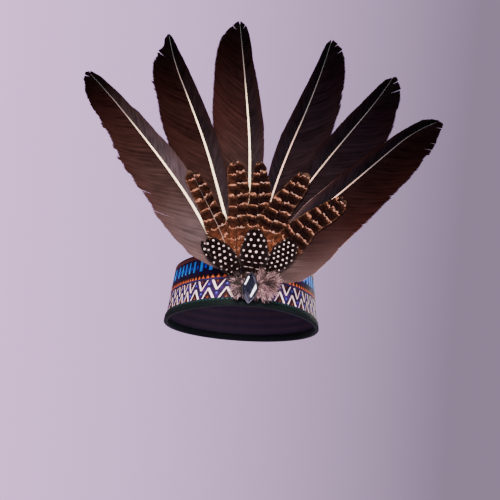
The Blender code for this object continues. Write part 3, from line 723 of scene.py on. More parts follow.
def paint(code):
    # The surface colour that looks like this code in the picture, under the front light
    seen = np.array([int(code[place:place + 2], 16) for place in (0, 2, 4)], dtype=float)
    light = np.interp(seen, SEEN, GIVEN) / FRONT_LIGHT
    vivid = light.mean() + (light - light.mean()) * VIVID
    vivid = np.maximum(vivid, DARKEST)
    return tuple(float(part) for part in vivid * min(1.0, PALEST / vivid.max()))


class Value:
    # A number that a node gives. Each sign between two of them makes one math node
    def __init__(self, graph, socket):
        self.graph, self.socket = graph, socket

    def to(self, operation, *others, clamp=False):
        return self.graph.math(operation, self, *others, clamp=clamp)

    def __add__(self, other):
        return self.to("ADD", other)

    def __sub__(self, other):
        return self.to("SUBTRACT", other)

    def __rsub__(self, other):
        return self.graph.math("SUBTRACT", other, self)

    def __mul__(self, other):
        return self.to("MULTIPLY", other)

    def __truediv__(self, other):
        return self.to("DIVIDE", other)

    def __pow__(self, other):
        return self.to("POWER", other)

    def __lt__(self, other):
        return self.to("LESS_THAN", other)

    def __gt__(self, other):
        return self.to("GREATER_THAN", other)

    def __abs__(self):
        return self.to("ABSOLUTE")

    def line(self, slope, start):
        return self.to("MULTIPLY_ADD", slope, start)

    def fade(self, slope, start=0.0):
        # A line that is cut off at 0 and 1
        return self.to("MULTIPLY_ADD", slope, start, clamp=True)

    def swing(self, gain):
        return (self - 0.5) * gain


class Graph:
    # Short names for the nodes that the finishes below are built from. A colour is given as a
    # code for paint or as three numbers
    def __init__(self, tree):
        self.tree = tree

    def node(self, kind, **settings):
        made = self.tree.nodes.new(kind)
        for name, value in settings.items():
            setattr(made, name, value)
        return made

    def feed(self, socket, value):
        if isinstance(value, str):
            value = paint(value)
        if isinstance(value, Value):
            value = value.socket
        if isinstance(value, bpy.types.NodeSocket):
            self.tree.links.new(value, socket)
        elif isinstance(value, tuple) and len(value) == 3 and socket.type == "RGBA":
            socket.default_value = (*value, 1.0)
        else:
            socket.default_value = value

    def feed_all(self, node, values):
        for place, value in values.items():
            self.feed(node.inputs[place], value)
        return node

    def math(self, operation, *values, clamp=False):
        made = self.node("ShaderNodeMath", operation=operation, use_clamp=clamp)
        return Value(self, self.feed_all(made, dict(enumerate(values))).outputs[0])

    def mix(self, share, first, second, blend="MIX"):
        made = self.node("ShaderNodeMix", data_type="RGBA", blend_type=blend)
        return self.feed_all(made, {0: share, 6: first, 7: second}).outputs[2]

    def ramp(self, share, stops, ease="LINEAR"):
        made = self.node("ShaderNodeValToRGB")
        made.color_ramp.interpolation = ease
        elements = made.color_ramp.elements
        while len(elements) < len(stops):
            elements.new(0.5)
        for element, (place, colour) in zip(elements, stops):
            element.position = place
            element.color = (*(paint(colour) if isinstance(colour, str) else colour), 1.0)
        self.feed(made.inputs[0], share)
        return made.outputs[0]

    def uv(self, name):
        return self.node("ShaderNodeUVMap", uv_map=name).outputs[0]

    def object_place(self):
        return self.node("ShaderNodeTexCoord").outputs["Object"]

    def value_of(self, name):
        return Value(self, self.node("ShaderNodeAttribute", attribute_name=name).outputs["Fac"])

    def split(self, vector):
        made = self.feed_all(self.node("ShaderNodeSeparateXYZ"), {0: vector})
        return tuple(Value(self, output) for output in made.outputs)

    def join(self, x, y):
        return self.feed_all(self.node("ShaderNodeCombineXYZ"), {0: x, 1: y}).outputs[0]

    def distance(self, x, y):
        made = self.node("ShaderNodeVectorMath", operation="LENGTH")
        return Value(self, self.feed_all(made, {0: self.join(x, y)}).outputs["Value"])

    def noise(self, vector, scale, detail=2.0, rough=0.5):
        made = self.feed_all(self.node("ShaderNodeTexNoise"), {
            "Vector": vector, "Scale": scale, "Detail": detail, "Roughness": rough})
        return Value(self, made.outputs["Fac"])

    def bump(self, height, strength, distance):
        made = self.node("ShaderNodeBump")
        values = {"Strength": strength, "Distance": distance, "Height": height}
        return self.feed_all(made, values).outputs[0]

    def dress(self, colour, roughness, normal=None):
        self.feed_all(self.shader, {"Base Color": colour, "Roughness": roughness})
        if normal is not None:
            self.feed(self.shader.inputs["Normal"], normal)
        return self.material


def new_material(name, **plain):
    material = bpy.data.materials.new(name)
    material.use_nodes = True
    graph = Graph(material.node_tree)
    graph.material, graph.shader = material, material.node_tree.nodes["Principled BSDF"]
    graph.feed_all(graph.shader, {name.replace("_", " "): value for name, value in plain.items()})
    return graph


def new_group(name, inputs, outputs):
    tree = bpy.data.node_groups.new(name, "ShaderNodeTree")
    for label, kind, value in inputs:
        made = tree.interface.new_socket(label, in_out="INPUT", socket_type=kind)
        if value is not None:
            made.default_value = value
    for label, kind in outputs:
        tree.interface.new_socket(label, in_out="OUTPUT", socket_type=kind)
    graph = Graph(tree)
    return tree, graph, graph.node("NodeGroupInput").outputs, graph.node("NodeGroupOutput")


def use_group(graph, tree, **values):
    made = graph.node("ShaderNodeGroup", node_tree=tree)
    graph.feed_all(made, {name.replace("_", " "): value for name, value in values.items()})
    return made


def make_barb_group():
    # Tone that changes from barb to barb and in streaks along them, partly the barbs' own colour and
    # partly painted shade between clumps, and the fine hooks' height
    grey = (0.5, 0.5, 0.5, 1.0)
    tree, graph, given, outlet = new_group(
        "barb shades",
        (("Colour", "NodeSocketColor", grey), ("Contrast", "NodeSocketFloat", 0.5),
         ("Edge colour", "NodeSocketColor", grey), ("Edge share", "NodeSocketFloat", 0.0)),
        (("Colour", "NodeSocketColor"), ("Height", "NodeSocketFloat"), ("Roughness", "NodeSocketFloat")),
    )
    strand, reach, order = (graph.value_of(name) for name in ("strand", "reach", "order"))
    plane = graph.uv("plane")
    streak = graph.noise(graph.join(order * 3.2, reach * 1.3), 1.0, 3.0, 0.65)
    fine = graph.noise(graph.join(order * 11.0, reach * 2.0), 1.0)
    broad = graph.noise(plane, 0.7)
    # The streaks are partly the barbs' own colour and partly painted shade in the lines between clumps
    swing = streak.swing(3.4) + strand.swing(0.9) + fine.swing(1.5) + broad.swing(0.9)
    gain = swing.line(given["Contrast"], 1.0).to("MAXIMUM", 0.12)
    toned = graph.node("ShaderNodeVectorMath", operation="SCALE")
    graph.feed_all(toned, {0: given["Colour"], 3: gain})
    edge_mix = reach ** 3.0 * streak.fade(3.0, -0.9) * given["Edge share"]
    along, across, _ = graph.split(plane)
    hooks = ((abs(across) + along) * 160.0).to("SINE")
    grain = graph.noise(plane, 40.0, 1.0)
    graph.feed_all(outlet, {
        "Colour": graph.mix(edge_mix, toned.outputs[0], given["Edge colour"]),
        "Height": hooks * 0.4 + grain, "Roughness": grain * 0.2 + 0.5,
    })
    return tree


def finish_vane(graph, barbs, colour, contrast, edge_colour, edge_share):
    shades = use_group(
        graph, barbs, Colour=colour, Contrast=contrast, Edge_colour=edge_colour, Edge_share=edge_share)
    return graph.dress(
        shades.outputs["Colour"], shades.outputs["Roughness"],
        graph.bump(shades.outputs["Height"], 0.4, BARB_RELIEF))


def wing_material(barbs, name, trailing, leading, edge, border=0.0):
    # border is how pale the rim of the trailing vane is, low down on the feather
    graph = new_material(name, Specular_IOR_Level=0.0)
    along, reach = graph.value_of("along"), graph.value_of("reach")
    _, across, _ = graph.split(graph.uv("plane"))
    # Dark beside the quill, lighter towards the trailing edge
    wide = graph.ramp(along, trailing)
    dark = graph.mix(0.5, wide, (0.004, 0.002, 0.002))
    wide = graph.mix(1.0 - across.fade(0.55, 0.5), wide, dark)
    colour = graph.mix(across.fade(6.0, 0.5), graph.ramp(along, leading), wide)
    edge_colour = graph.mix(along.fade(-1.9, 1.75), "140808", edge)
    shades = use_group(
        graph, barbs, Colour=colour, Contrast=0.6, Edge_share=0.6, Edge_colour=edge_colour)
    pale = reach ** 3.0 * along.fade(-4.5, 1.9)
    toned = graph.mix(pale * (0.6 * border), shades.outputs["Colour"], "a08c88")
    worn = reach.fade(40.0, -38.8) * along.fade(-5.0, 2.6)
    return graph.dress(
        graph.mix(worn * border, toned, "d0c2c0"), shades.outputs["Roughness"],
        graph.bump(shades.outputs["Height"], 0.5, BARB_RELIEF))


def barred_material(barbs, name, ground_warmth):
    graph = new_material(name, Specular_IOR_Level=0.0)
    plane = graph.uv("plane")
    along, across, _ = graph.split(plane)
    share, reach = graph.value_of("along"), graph.value_of("reach")
    # Wavy bars, a step apart on the two vanes
    waves = graph.noise(plane, 3.4).swing(0.62) + (across > 0.0) * 0.19
    place = along + abs(across) * -0.1 + (graph.noise(plane, 0.9).swing(0.42) + waves)
    phase = (place / BAR_STEP + 10.2).to("FRACT")
    ground = graph.ramp(phase, (
        (0.0, "543226"), (0.12, "301a14"), (0.2, "120808"), (0.42, "1e1010"), (0.62, "100707"),
        (0.86, "301a14"), (1.0, "543226"),
    ))
    blotch = graph.noise(plane, 1.6, 3.0, 0.6)
    warm = blotch.fade(5.0, -2.2)
    trailing = across.fade(2.4, 0.3)
    ground = graph.mix((warm + trailing * 0.4) * ground_warmth, ground, "7a4634")
    bar = abs(phase - 0.08).fade(-26.0, 1.95) * graph.noise(plane, 3.2).fade(8.0, -2.9)
    bar_colour = graph.mix(warm.to("MAXIMUM", trailing), "c6b0a4", "c09c84")
    bars = graph.mix(bar * 0.95, ground, bar_colour)
    # Rust fluff at the root
    fluff = graph.noise(graph.join(graph.value_of("order") * 6.0, reach * 3.0), 1.0, 3.0, 0.7)
    rust = graph.ramp(fluff, ((0.3, "34190f"), (0.45, "744430"), (0.56, "9c6044"), (0.72, "bc8866")))
    rust = graph.mix(bar * 0.5, rust, "c09a80")
    colour = graph.mix((0.36 - share).fade(4.5) * 0.8, bars, rust)
    # Pale flecks on the rim and the tip
    rim = reach.fade(9.0, -7.9) * blotch.fade(4.0, -1.6)
    colour = graph.mix(rim * 0.6, colour, "b09078")
    colour = graph.mix((share - 0.965).fade(25.0) * 0.5, colour, "947660")
    return finish_vane(graph, barbs, colour, 0.4, "4c3020", 0.35)


def dotted_material(barbs, name, spacing, dashes):
    # spacing is in centimetres; dashes is how far the lowest dots run together
    graph = new_material(name, Specular_IOR_Level=0.0)
    plane = graph.uv("plane")
    along, across, _ = graph.split(plane)
    share, reach = graph.value_of("along"), graph.value_of("reach")
    # Rows of dots, every other row moved on by half a step
    row_place = along / (0.9 * spacing)
    row = row_place.to("FLOOR")
    cell_place = across / spacing + row.to("FLOORED_MODULO", 2.0) * 0.5
    drift = graph.node("ShaderNodeTexWhiteNoise", noise_dimensions="3D")
    graph.feed(drift.inputs["Vector"], graph.join(row, cell_place.to("FLOOR")))
    drift_x, drift_y, drift_z = graph.split(drift.outputs["Color"])
    off_row = row_place.to("FRACT") - drift_x.line(0.2, 0.4)
    off_cell = cell_place.to("FRACT") - drift_y.line(0.2, 0.4)
    # Low down the dots run together into dashes across the feather
    low = share.fade(-6.0, 2.6)
    dash = share.fade(-9.0, 3.4) * dashes
    tall = dash.line(0.9, drift_z.line(0.3, 0.7))
    far = graph.distance(off_row * tall, off_cell * dash.line(-0.5, 1.0))
    size = drift_z.line(0.05, 0.18) + graph.noise(plane, 6.0).swing(0.16)
    size = low.line(-0.03, (reach ** 4.0).line(-0.05, size))
    dot = (size - far).fade(16.0)
    fuzz = reach.fade(5.0, -4.0) * share.fade(-1.2, 1.1)
    ground = graph.mix(graph.noise(plane, 2.0, 3.0), "060304", "201414")
    ground = graph.mix(fuzz * 0.7, ground, "4c4040")
    spot = graph.mix(low * 0.7, graph.mix(reach ** 3.0, "ddd4d2", "a89a94"), "9c8e8a")
    colour = graph.mix(dot * dash.line(-0.2, 1.0), ground, spot)
    return finish_vane(graph, barbs, colour, 0.3, "4a3c3a", 0.4)


def quill_material(name, base, middle, fade_from, fade_to, shine=0.3):
    # The quill is pale at its base and fades to dark between two shares of its length
    graph = new_material(name, Specular_IOR_Level=shine)
    colour = graph.ramp(graph.value_of("along"), (
        (0.0, base), (fade_from, base), (0.5 * (fade_from + fade_to), middle), (fade_to, "0a0504"),
    ))
    streak = graph.noise(graph.object_place(), 900.0)
    tint = graph.mix(streak, (0.88, 0.86, 0.84), (1.15, 1.15, 1.15))
    return graph.dress(
        graph.mix(1.0, colour, tint, "MULTIPLY"), streak.line(0.2, 0.3),
        graph.bump(streak, 0.2, BARB_RELIEF))


def down_material(name, deep, middle, pale):
    graph = new_material(name, Specular_IOR_Level=0.03)
    patch = graph.noise(graph.object_place(), 130.0)
    share = graph.value_of("strand") * 1.1 + graph.value_of("reach").line(0.55, -0.42)
    share = share.to("ADD", patch.swing(1.0), clamp=True)
    shades = ((0.0, deep), (0.36, middle), (0.74, pale), (1.0, "d8caca"))
    return graph.dress(graph.ramp(share, shades), patch.line(0.2, 0.65))


def make_weave_group():
    # Threads over and under, from a place in thread counts, with a painted shade that darkens where the
    # threads dip
    tree, graph, given, outlet = new_group(
        "weave",
        (("Vector", "NodeSocketVector", None), ("Across", "NodeSocketFloat", 100.0),
         ("Up", "NodeSocketFloat", 100.0)),
        (("Height", "NodeSocketFloat"), ("Painted shade", "NodeSocketFloat")),
    )
    x, y, _ = graph.split(given["Vector"])
    warp, weft = x * given["Across"], y * given["Up"]
    over = (warp.to("FLOOR") + weft.to("FLOOR")).to("FLOORED_MODULO", 2.0)
    round_warp, round_weft = ((part.to("FRACT") * math.pi).to("SINE") for part in (warp, weft))
    height = over * round_warp + (1.0 - over) * round_weft
    graph.feed_all(outlet, {"Height": height, "Painted shade": height.line(0.35, 0.72)})
    return tree


def ribbon_material(weave):
    graph = new_material("woven ribbon", Specular_IOR_Level=0.12)
    place = graph.uv("ribbon")
    turn, rise, _ = graph.split(place)
    across = turn + graph.noise(graph.join(turn, rise * 4.0), 9.0).swing(0.02)

    def cycle(count, shift=0.0):
        return across.line(count, shift + 40.0).to("FRACT") - 0.5

    def draw(colour, shade, low, high, *masks):
        # Lays the shade over the rows between two heights, where every mask holds
        found = (rise > low) * (rise < high)
        for mask in masks:
            found = found * mask
        return graph.mix(found, colour, shade)

    # Grounds of the rows, from the lower edge up
    colour = graph.ramp(rise, (
        (0.0, "10181a"), (0.126, "3c2458"), (0.30, "4a2c70"), (0.472, "20103a"), (0.481, "5c4a94"),
        (0.504, "1e0c14"), (0.592, "22103a"), (0.655, "1c1a50"), (0.84, "2a144a"), (0.895, "160c20"),
        (0.91, "a8705c"), (0.965, "1c141c"),
    ), "CONSTANT")
    drift = graph.noise(graph.join(turn * 0.55, rise * 3.0), 3.0)
    colour = draw(colour, graph.mix(drift.fade(4.0, -1.6), "2a1a42", "6a3a96"), 0.126, 0.472, 0.8)
    colour = draw(colour, "5c2080", 0.592, 0.895, drift.fade(3.0, -1.3))

    # Chevrons: V above and its mirror below, half a step on. One stroke is wide, one narrow
    upper_side, lower_side = cycle(1.0, 0.5), cycle(1.0)
    v_open = (rise - V_LOW) / (V_TOP - V_LOW)
    a_open = (A_TOP - rise) / (A_TOP - A_LOW)
    v_left, v_right = (v_open * spread for spread in V_SPREADS)
    a_left, a_right = (a_open * spread for spread in A_SPREADS)
    colour = draw(colour, "3a0c16", A_LOW, A_TOP, abs(lower_side) - a_right < 0.0, 0.9)
    colour = draw(colour, "380c1e", V_LOW, V_TOP, abs(upper_side) - v_right < 0.0, 0.8)
    cream = graph.mix(graph.noise(place, 3.0), "e6d8d4", "fdf8f4")
    for side, left, right, low, high, widths in (
            (upper_side, v_left, v_right, V_LOW, V_TOP, (WIDE_STROKE, NARROW_STROKE)),
            (lower_side, a_left, a_right, A_LOW, A_TOP, (NARROW_STROKE, WIDE_STROKE))):
        strokes = (
            (side + left, widths[0], side < STROKE_OVERLAP),
            (side - right, widths[1], side > -STROKE_OVERLAP))
        for off, half, beside in strokes:
            colour = draw(colour, cream, low, high, (off > -half) * (off < half), beside)

    # Small triangles inside the chevrons. Columns: colour, side, heights of point and base, slope
    for shade, side, point, base, slope in (
            ("6e342a", upper_side, V_TOP - 0.075, V_TOP - 0.008, 1.5),
            ("b07450", upper_side, V_TOP - 0.05, V_TOP - 0.008, 1.2),
            ("6c3026", lower_side, A_LOW + 0.078, A_LOW + 0.004, -1.7),
            ("b8784a", lower_side, A_LOW + 0.046, A_LOW + 0.004, -1.2)):
        inner = abs(side) - (rise - point) * slope < 0.0
        colour = draw(colour, shade, min(point, base), max(point, base), inner)

    # Round dots between the chevrons
    for side, height in ((lower_side, V_TOP - 0.075), (upper_side, A_LOW + 0.09)):
        far = graph.distance(side, (rise - height) * (BAND_HEIGHT * CHEVRONS / RING_LENGTH))
        for shade, size in DOT_SIZES:
            colour = graph.mix(far < size, colour, shade)

    # Row of orange triangles, tall blue bars, and the rows of small motifs
    for shade, base, top, half in ROW_TRIANGLES:
        narrowing = (rise - base).line(ROW_TRIANGLE_SLOPE, half)
        colour = draw(colour, shade, base, top, abs(cycle(3.0, 0.5)) < narrowing)
    blue = graph.mix(graph.noise(place, 3.0, 1.0), "70bcf4", "a8ecff")
    colour = draw(colour, blue, 0.665, 0.875, abs(cycle(4.0 / 3.0, 0.233)) < 0.16)
    for shade, low, high, count, shift, half in SMALL_MOTIFS:
        colour = draw(colour, shade, low, high, abs(cycle(count, shift)) < half)

    threads = use_group(
        graph, weave, Vector=graph.join(turn, rise), Across=RIBBON_THREADS[0], Up=RIBBON_THREADS[1])
    # Painted shade of the threads, darker where they dip, laid over the pattern
    colour = graph.mix(0.7, colour, threads.outputs["Painted shade"], "MULTIPLY")
    soft = graph.noise(place, 2.0, 3.0)
    worn = graph.mix(soft, (0.55, 0.55, 0.55), (1.25, 1.25, 1.25))
    return graph.dress(
        graph.mix(0.25, colour, worn, "MULTIPLY"), soft.line(0.25, 0.5),
        graph.bump(threads.outputs["Height"], 0.35, CLOTH_RELIEF))


def reverse_material(weave):
    # The inner side of the ribbon: the same threads, with only a dull trace of the rows
    graph = new_material("ribbon reverse", Specular_IOR_Level=0.1)
    place = graph.uv("ribbon")
    _, rise, _ = graph.split(place)
    soft = graph.noise(place, 2.5, 3.0)
    rows = (rise * 40.0).to("SINE").fade(0.25, 0.25)
    colour = graph.mix(rows, graph.mix(soft, "3c3244", "564860"), "6c505c")
    threads = use_group(graph, weave, Vector=place, Across=RIBBON_THREADS[0], Up=RIBBON_THREADS[1])
    # The threads' painted shade darkens the colour where they dip
    return graph.dress(
        graph.mix(1.0, colour, threads.outputs["Painted shade"], "MULTIPLY"), soft.line(0.2, 0.7),
        graph.bump(threads.outputs["Height"], 0.35, CLOTH_RELIEF))


def binding_material(weave):
    graph = new_material("binding tape", Specular_IOR_Level=0.1)
    place = graph.uv("ribbon")
    threads = use_group(graph, weave, Vector=place, Across=TAPE_THREADS[0], Up=TAPE_THREADS[1])
    ground = graph.mix(graph.noise(place, 6.0, 3.0), "06100d", "10241e")
    height = Value(graph, threads.outputs["Height"])
    # The threads' painted shade darkens the tape where they dip
    return graph.dress(
        graph.mix(1.0, ground, threads.outputs["Painted shade"], "MULTIPLY"), height.line(-0.15, 0.8),
        graph.bump(height, 0.5, TAPE_RELIEF))


def facet(x, z, corners, soft):
    # 1 inside a convex outline of across and height in mm, falling to 0 over the soft edge
    edges = tuple(zip(corners, corners[1:] + corners[:1]))
    spin = sum(x0 * z1 - x1 * z0 for (x0, z0), (x1, z1) in edges)
    found = None
    for (x0, z0), (x1, z1) in edges:
        length = math.copysign(math.hypot(x1 - x0, z1 - z0), -spin)
        way_x, way_z = (z1 - z0) / length, (x0 - x1) / length
        depth = x.line(way_x / (soft * MM), 0.5 - (x0 * way_x + z0 * way_z) / soft)
        depth = z.line(way_z / (soft * MM), depth)
        found = depth if found is None else found.to("MINIMUM", depth)
    return found.to("MINIMUM", 1.0).to("MAXIMUM", 0.0)


def stone_material():
    graph = new_material(
        "cut stone", IOR=1.55, Coat_Weight=0.25, Coat_Roughness=0.02, Specular_IOR_Level=0.3)
    x, _, z = graph.split(graph.object_place())
    cloud = graph.noise(graph.join(x * 420.0, z * 130.0), 1.0, 3.0, 0.6)
    body = graph.ramp(cloud, ((0.3, "0c0a14"), (0.5, "262838"), (0.62, "34384a"), (0.75, "565a70")))
    body = graph.mix((z - x * 1.2).fade(90.0, -1.5) * 0.8, body, "0e0914")
    # Duller painted reflections on some facets, then painted highlights on two of them
    for corners in PAINTED_DULL_REFLECTIONS:
        body = graph.mix(facet(x, z, corners, 0.9) * cloud.fade(1.6), body, "85818f")
    for corners in PAINTED_HIGHLIGHTS:
        body = graph.mix(facet(x, z, corners, 0.3), body, "fdfcff")
    return graph.dress(body, cloud.line(0.06, 0.04))


def rim_material():
    graph = new_material("rim metal", Metallic=1.0)
    place = graph.object_place()
    tarnish = graph.noise(place, 700.0, 3.0)
    _, _, z = graph.split(place)
    # Painted highlight: the metal is paler at the bottom of the rim, darker above
    dark = graph.mix(tarnish, "16121c", "4c4858")
    light = graph.mix(tarnish, "403e4c", "94929f")
    return graph.dress(graph.mix(z.fade(-160.0, 1.3), dark, light), tarnish.line(0.25, 0.3))


# Band and binding
def ring_size(outward, rise):
    inset = BAND_LEAN * rise / BAND_HEIGHT
    return BAND_HALF_WIDTH - inset + outward, BAND_HALF_DEPTH - inset + outward


def ring_shares():
    # Share of the loop's length at each turn, so that the pattern keeps an even step
    turns = np.linspace(0.0, 2.0 * math.pi, RING_STEPS + 1)
    width, depth = ring_size(0.0, BAND_HEIGHT / 2.0)
    across = width * np.cos(turns) * (1.0 + BAND_EGG * np.sin(turns))
    spots = np.stack([across, depth * np.sin(turns)], axis=-1)
    lengths = running_sum(np.linalg.norm(np.diff(spots, axis=0), axis=1))
    shares = lengths / lengths[-1]

    # Chevron number at each turn: the read places in front, even steps behind
    degrees = np.degrees(turns)
    (first_turn, first), (last_turn, last) = CHEVRON_PLACES[0], CHEVRON_PLACES[-1]
    begin, end = np.interp((first_turn, last_turn), degrees, shares)
    behind = (CHEVRONS - (last - first)) / (1.0 - (end - begin))
    steps = np.interp(degrees, *zip(*CHEVRON_PLACES))
    steps = np.where(degrees > last_turn, last + behind * (shares - end), steps)
    steps = np.where(degrees < first_turn, first - behind * (begin - shares), steps)
    return turns, shares, steps, float(lengths[-1])


RING_TURNS, RING_SHARES, RING_STEPS_ROUND, RING_LENGTH = ring_shares()


def draw_ring(name, profile, wall, soft_edge, materials):
    # A circle is extruded through the profile, a list of outward offset and height, from its
    # outer top downwards. The wall grows inwards from the drawn face
    middle = (0.0, 0.0, 0.0)
    bpy.ops.object.select_all(action="DESELECT")
    bpy.ops.mesh.primitive_circle_add(vertices=RING_STEPS, radius=1.0, location=middle)
    ring = bpy.context.active_object
    ring.name = name
    bpy.ops.object.mode_set(mode="EDIT")
    bpy.ops.mesh.select_all(action="SELECT")
    outward, rise = profile[0]
    width, depth = ring_size(outward, rise)
    bpy.ops.transform.resize(value=(width, depth, 1.0), center_override=middle)
    bpy.ops.transform.translate(value=(0.0, 0.0, rise))
    for outward, next_rise in profile[1:]:
        next_width, next_depth = ring_size(outward, next_rise)
        down = {"value": (0.0, 0.0, next_rise - rise)}
        bpy.ops.mesh.extrude_region_move(TRANSFORM_OT_translate=down)
        bpy.ops.transform.resize(
            value=(next_width / width, next_depth / depth, 1.0),
            center_override=(0.0, 0.0, next_rise))
        width, depth, rise = next_width, next_depth, next_rise
    bpy.ops.mesh.select_all(action="SELECT")
    bpy.ops.mesh.remove_doubles(threshold=0.01 * MM)
    bpy.ops.object.mode_set(mode="OBJECT")

    # The loop is an egg in plan: narrower towards the forehead
    mesh = ring.data
    spots = read(mesh.vertices, "co", width=3)
    depths = BAND_HALF_DEPTH - BAND_LEAN * spots[:, 2] / BAND_HEIGHT
    spots[:, 0] *= 1.0 + BAND_EGG * np.clip(spots[:, 1] / depths, -1.0, 1.0)
    mesh.vertices.foreach_set("co", spots.ravel())
    mesh.update()
    first = mesh.polygons[0]
    if first.normal.x * first.center.x + first.normal.y * first.center.y < 0.0:
        mesh.flip_normals()

    thick = ring.modifiers.new("wall", "SOLIDIFY")
    thick.thickness = wall
    thick.offset = -1.0
    thick.use_even_offset = True
    thick.material_offset = len(materials) - 1
    thick.material_offset_rim = 0
    edge = ring.modifiers.new("soft edge", "BEVEL")
    edge.width = soft_edge
    edge.segments = 2
    edge.limit_method = "ANGLE"
    edge.angle_limit = EDGE_ANGLE
    for material in materials:
        mesh.materials.append(material)
    bpy.ops.object.modifier_apply(modifier="wall")
    bpy.ops.object.modifier_apply(modifier="soft edge")
    bpy.ops.object.shade_smooth_by_angle(angle=EDGE_ANGLE)
    map_ring(ring.data)
    return ring


def map_ring(mesh):
    # Pattern map: chevrons round the loop and share of the band's height
    spots = read(mesh.vertices, "co", width=3)
    rises = spots[:, 2]
    width, depth = ring_size(0.0, rises)
    sine = np.clip(spots[:, 1] / depth, -1.0, 1.0)
    for _ in range(TURN_ROUNDS):
        turn = np.arctan2(spots[:, 1] / depth, spots[:, 0] / (width * (1.0 + BAND_EGG * sine)))
        sine = np.sin(turn)
    turn = turn % (2.0 * math.pi)
    shares = np.interp(turn, RING_TURNS, RING_SHARES)
    steps = np.interp(turn, RING_TURNS, RING_STEPS_ROUND)
    corners = read(mesh.loops, "vertex_index", np.int32)
    sizes = read(mesh.polygons, "loop_total", np.int32)
    owner = np.repeat(np.arange(len(sizes)), sizes)
    share = shares[corners]
    starts = np.concatenate(([0], np.cumsum(sizes)[:-1]))
    widest = np.maximum.reduceat(share, starts) - np.minimum.reduceat(share, starts)
    # A face across the seam keeps all its corners on one side
    over = (widest[owner] > 0.5) & (share < 0.5)
    share = share + over
    places = [steps[corners] + over * CHEVRONS, rises[corners] / BAND_HEIGHT]
    add_map(mesh, "ribbon", np.stack(places, axis=-1))

    # Bake map: the outer face below, the inner face above, the rims between
    normals = read(mesh.polygons, "normal", width=3)
    plan = np.linalg.norm(spots[corners, :2], axis=1)
    outward = (normals[owner, :2] * (spots[corners, :2] / plan[:, None])).sum(axis=1)
    level = (rises[corners] - rises.min()) / (rises.max() - rises.min())
    wall = np.clip((plan - plan.min()) / (plan.max() - plan.min()), 0.0, 1.0)
    line = np.where(outward < -0.5, 0.55 + 0.42 * level, 0.47 + 0.06 * wall)
    line = np.where(outward > 0.5, 0.03 + 0.42 * level, line)
    places = [0.005 + 0.985 * np.clip(share, 0.0, 1.0), line]
    add_map(mesh, "OFBake", np.stack(places, axis=-1))


def build_band(material, reverse):
    profile = [(0.0, BAND_HEIGHT * (1.0 - row / BAND_ROWS)) for row in range(BAND_ROWS + 1)]
    return draw_ring("ribbon_band", profile, BAND_THICKNESS, BAND_SOFT_EDGE, (material, reverse))


def build_binding(material):
    out = BINDING_GAP + BINDING_THICKNESS
    low = -BINDING_GAP - BINDING_THICKNESS
    inner = -BAND_THICKNESS - out
    waist = BINDING_HEIGHT * 0.55
    profile = [
        (out, BINDING_HEIGHT), (out + 0.12 * MM, waist), (out, low + BINDING_TURN),
        (out - BINDING_TURN, low), (inner + BINDING_TURN, low), (inner, low + BINDING_TURN),
        (inner - 0.05 * MM, waist), (inner, BINDING_HEIGHT),
    ]
    return draw_ring("edge_tape", profile, BINDING_THICKNESS, BINDING_SOFT_EDGE, (material,))


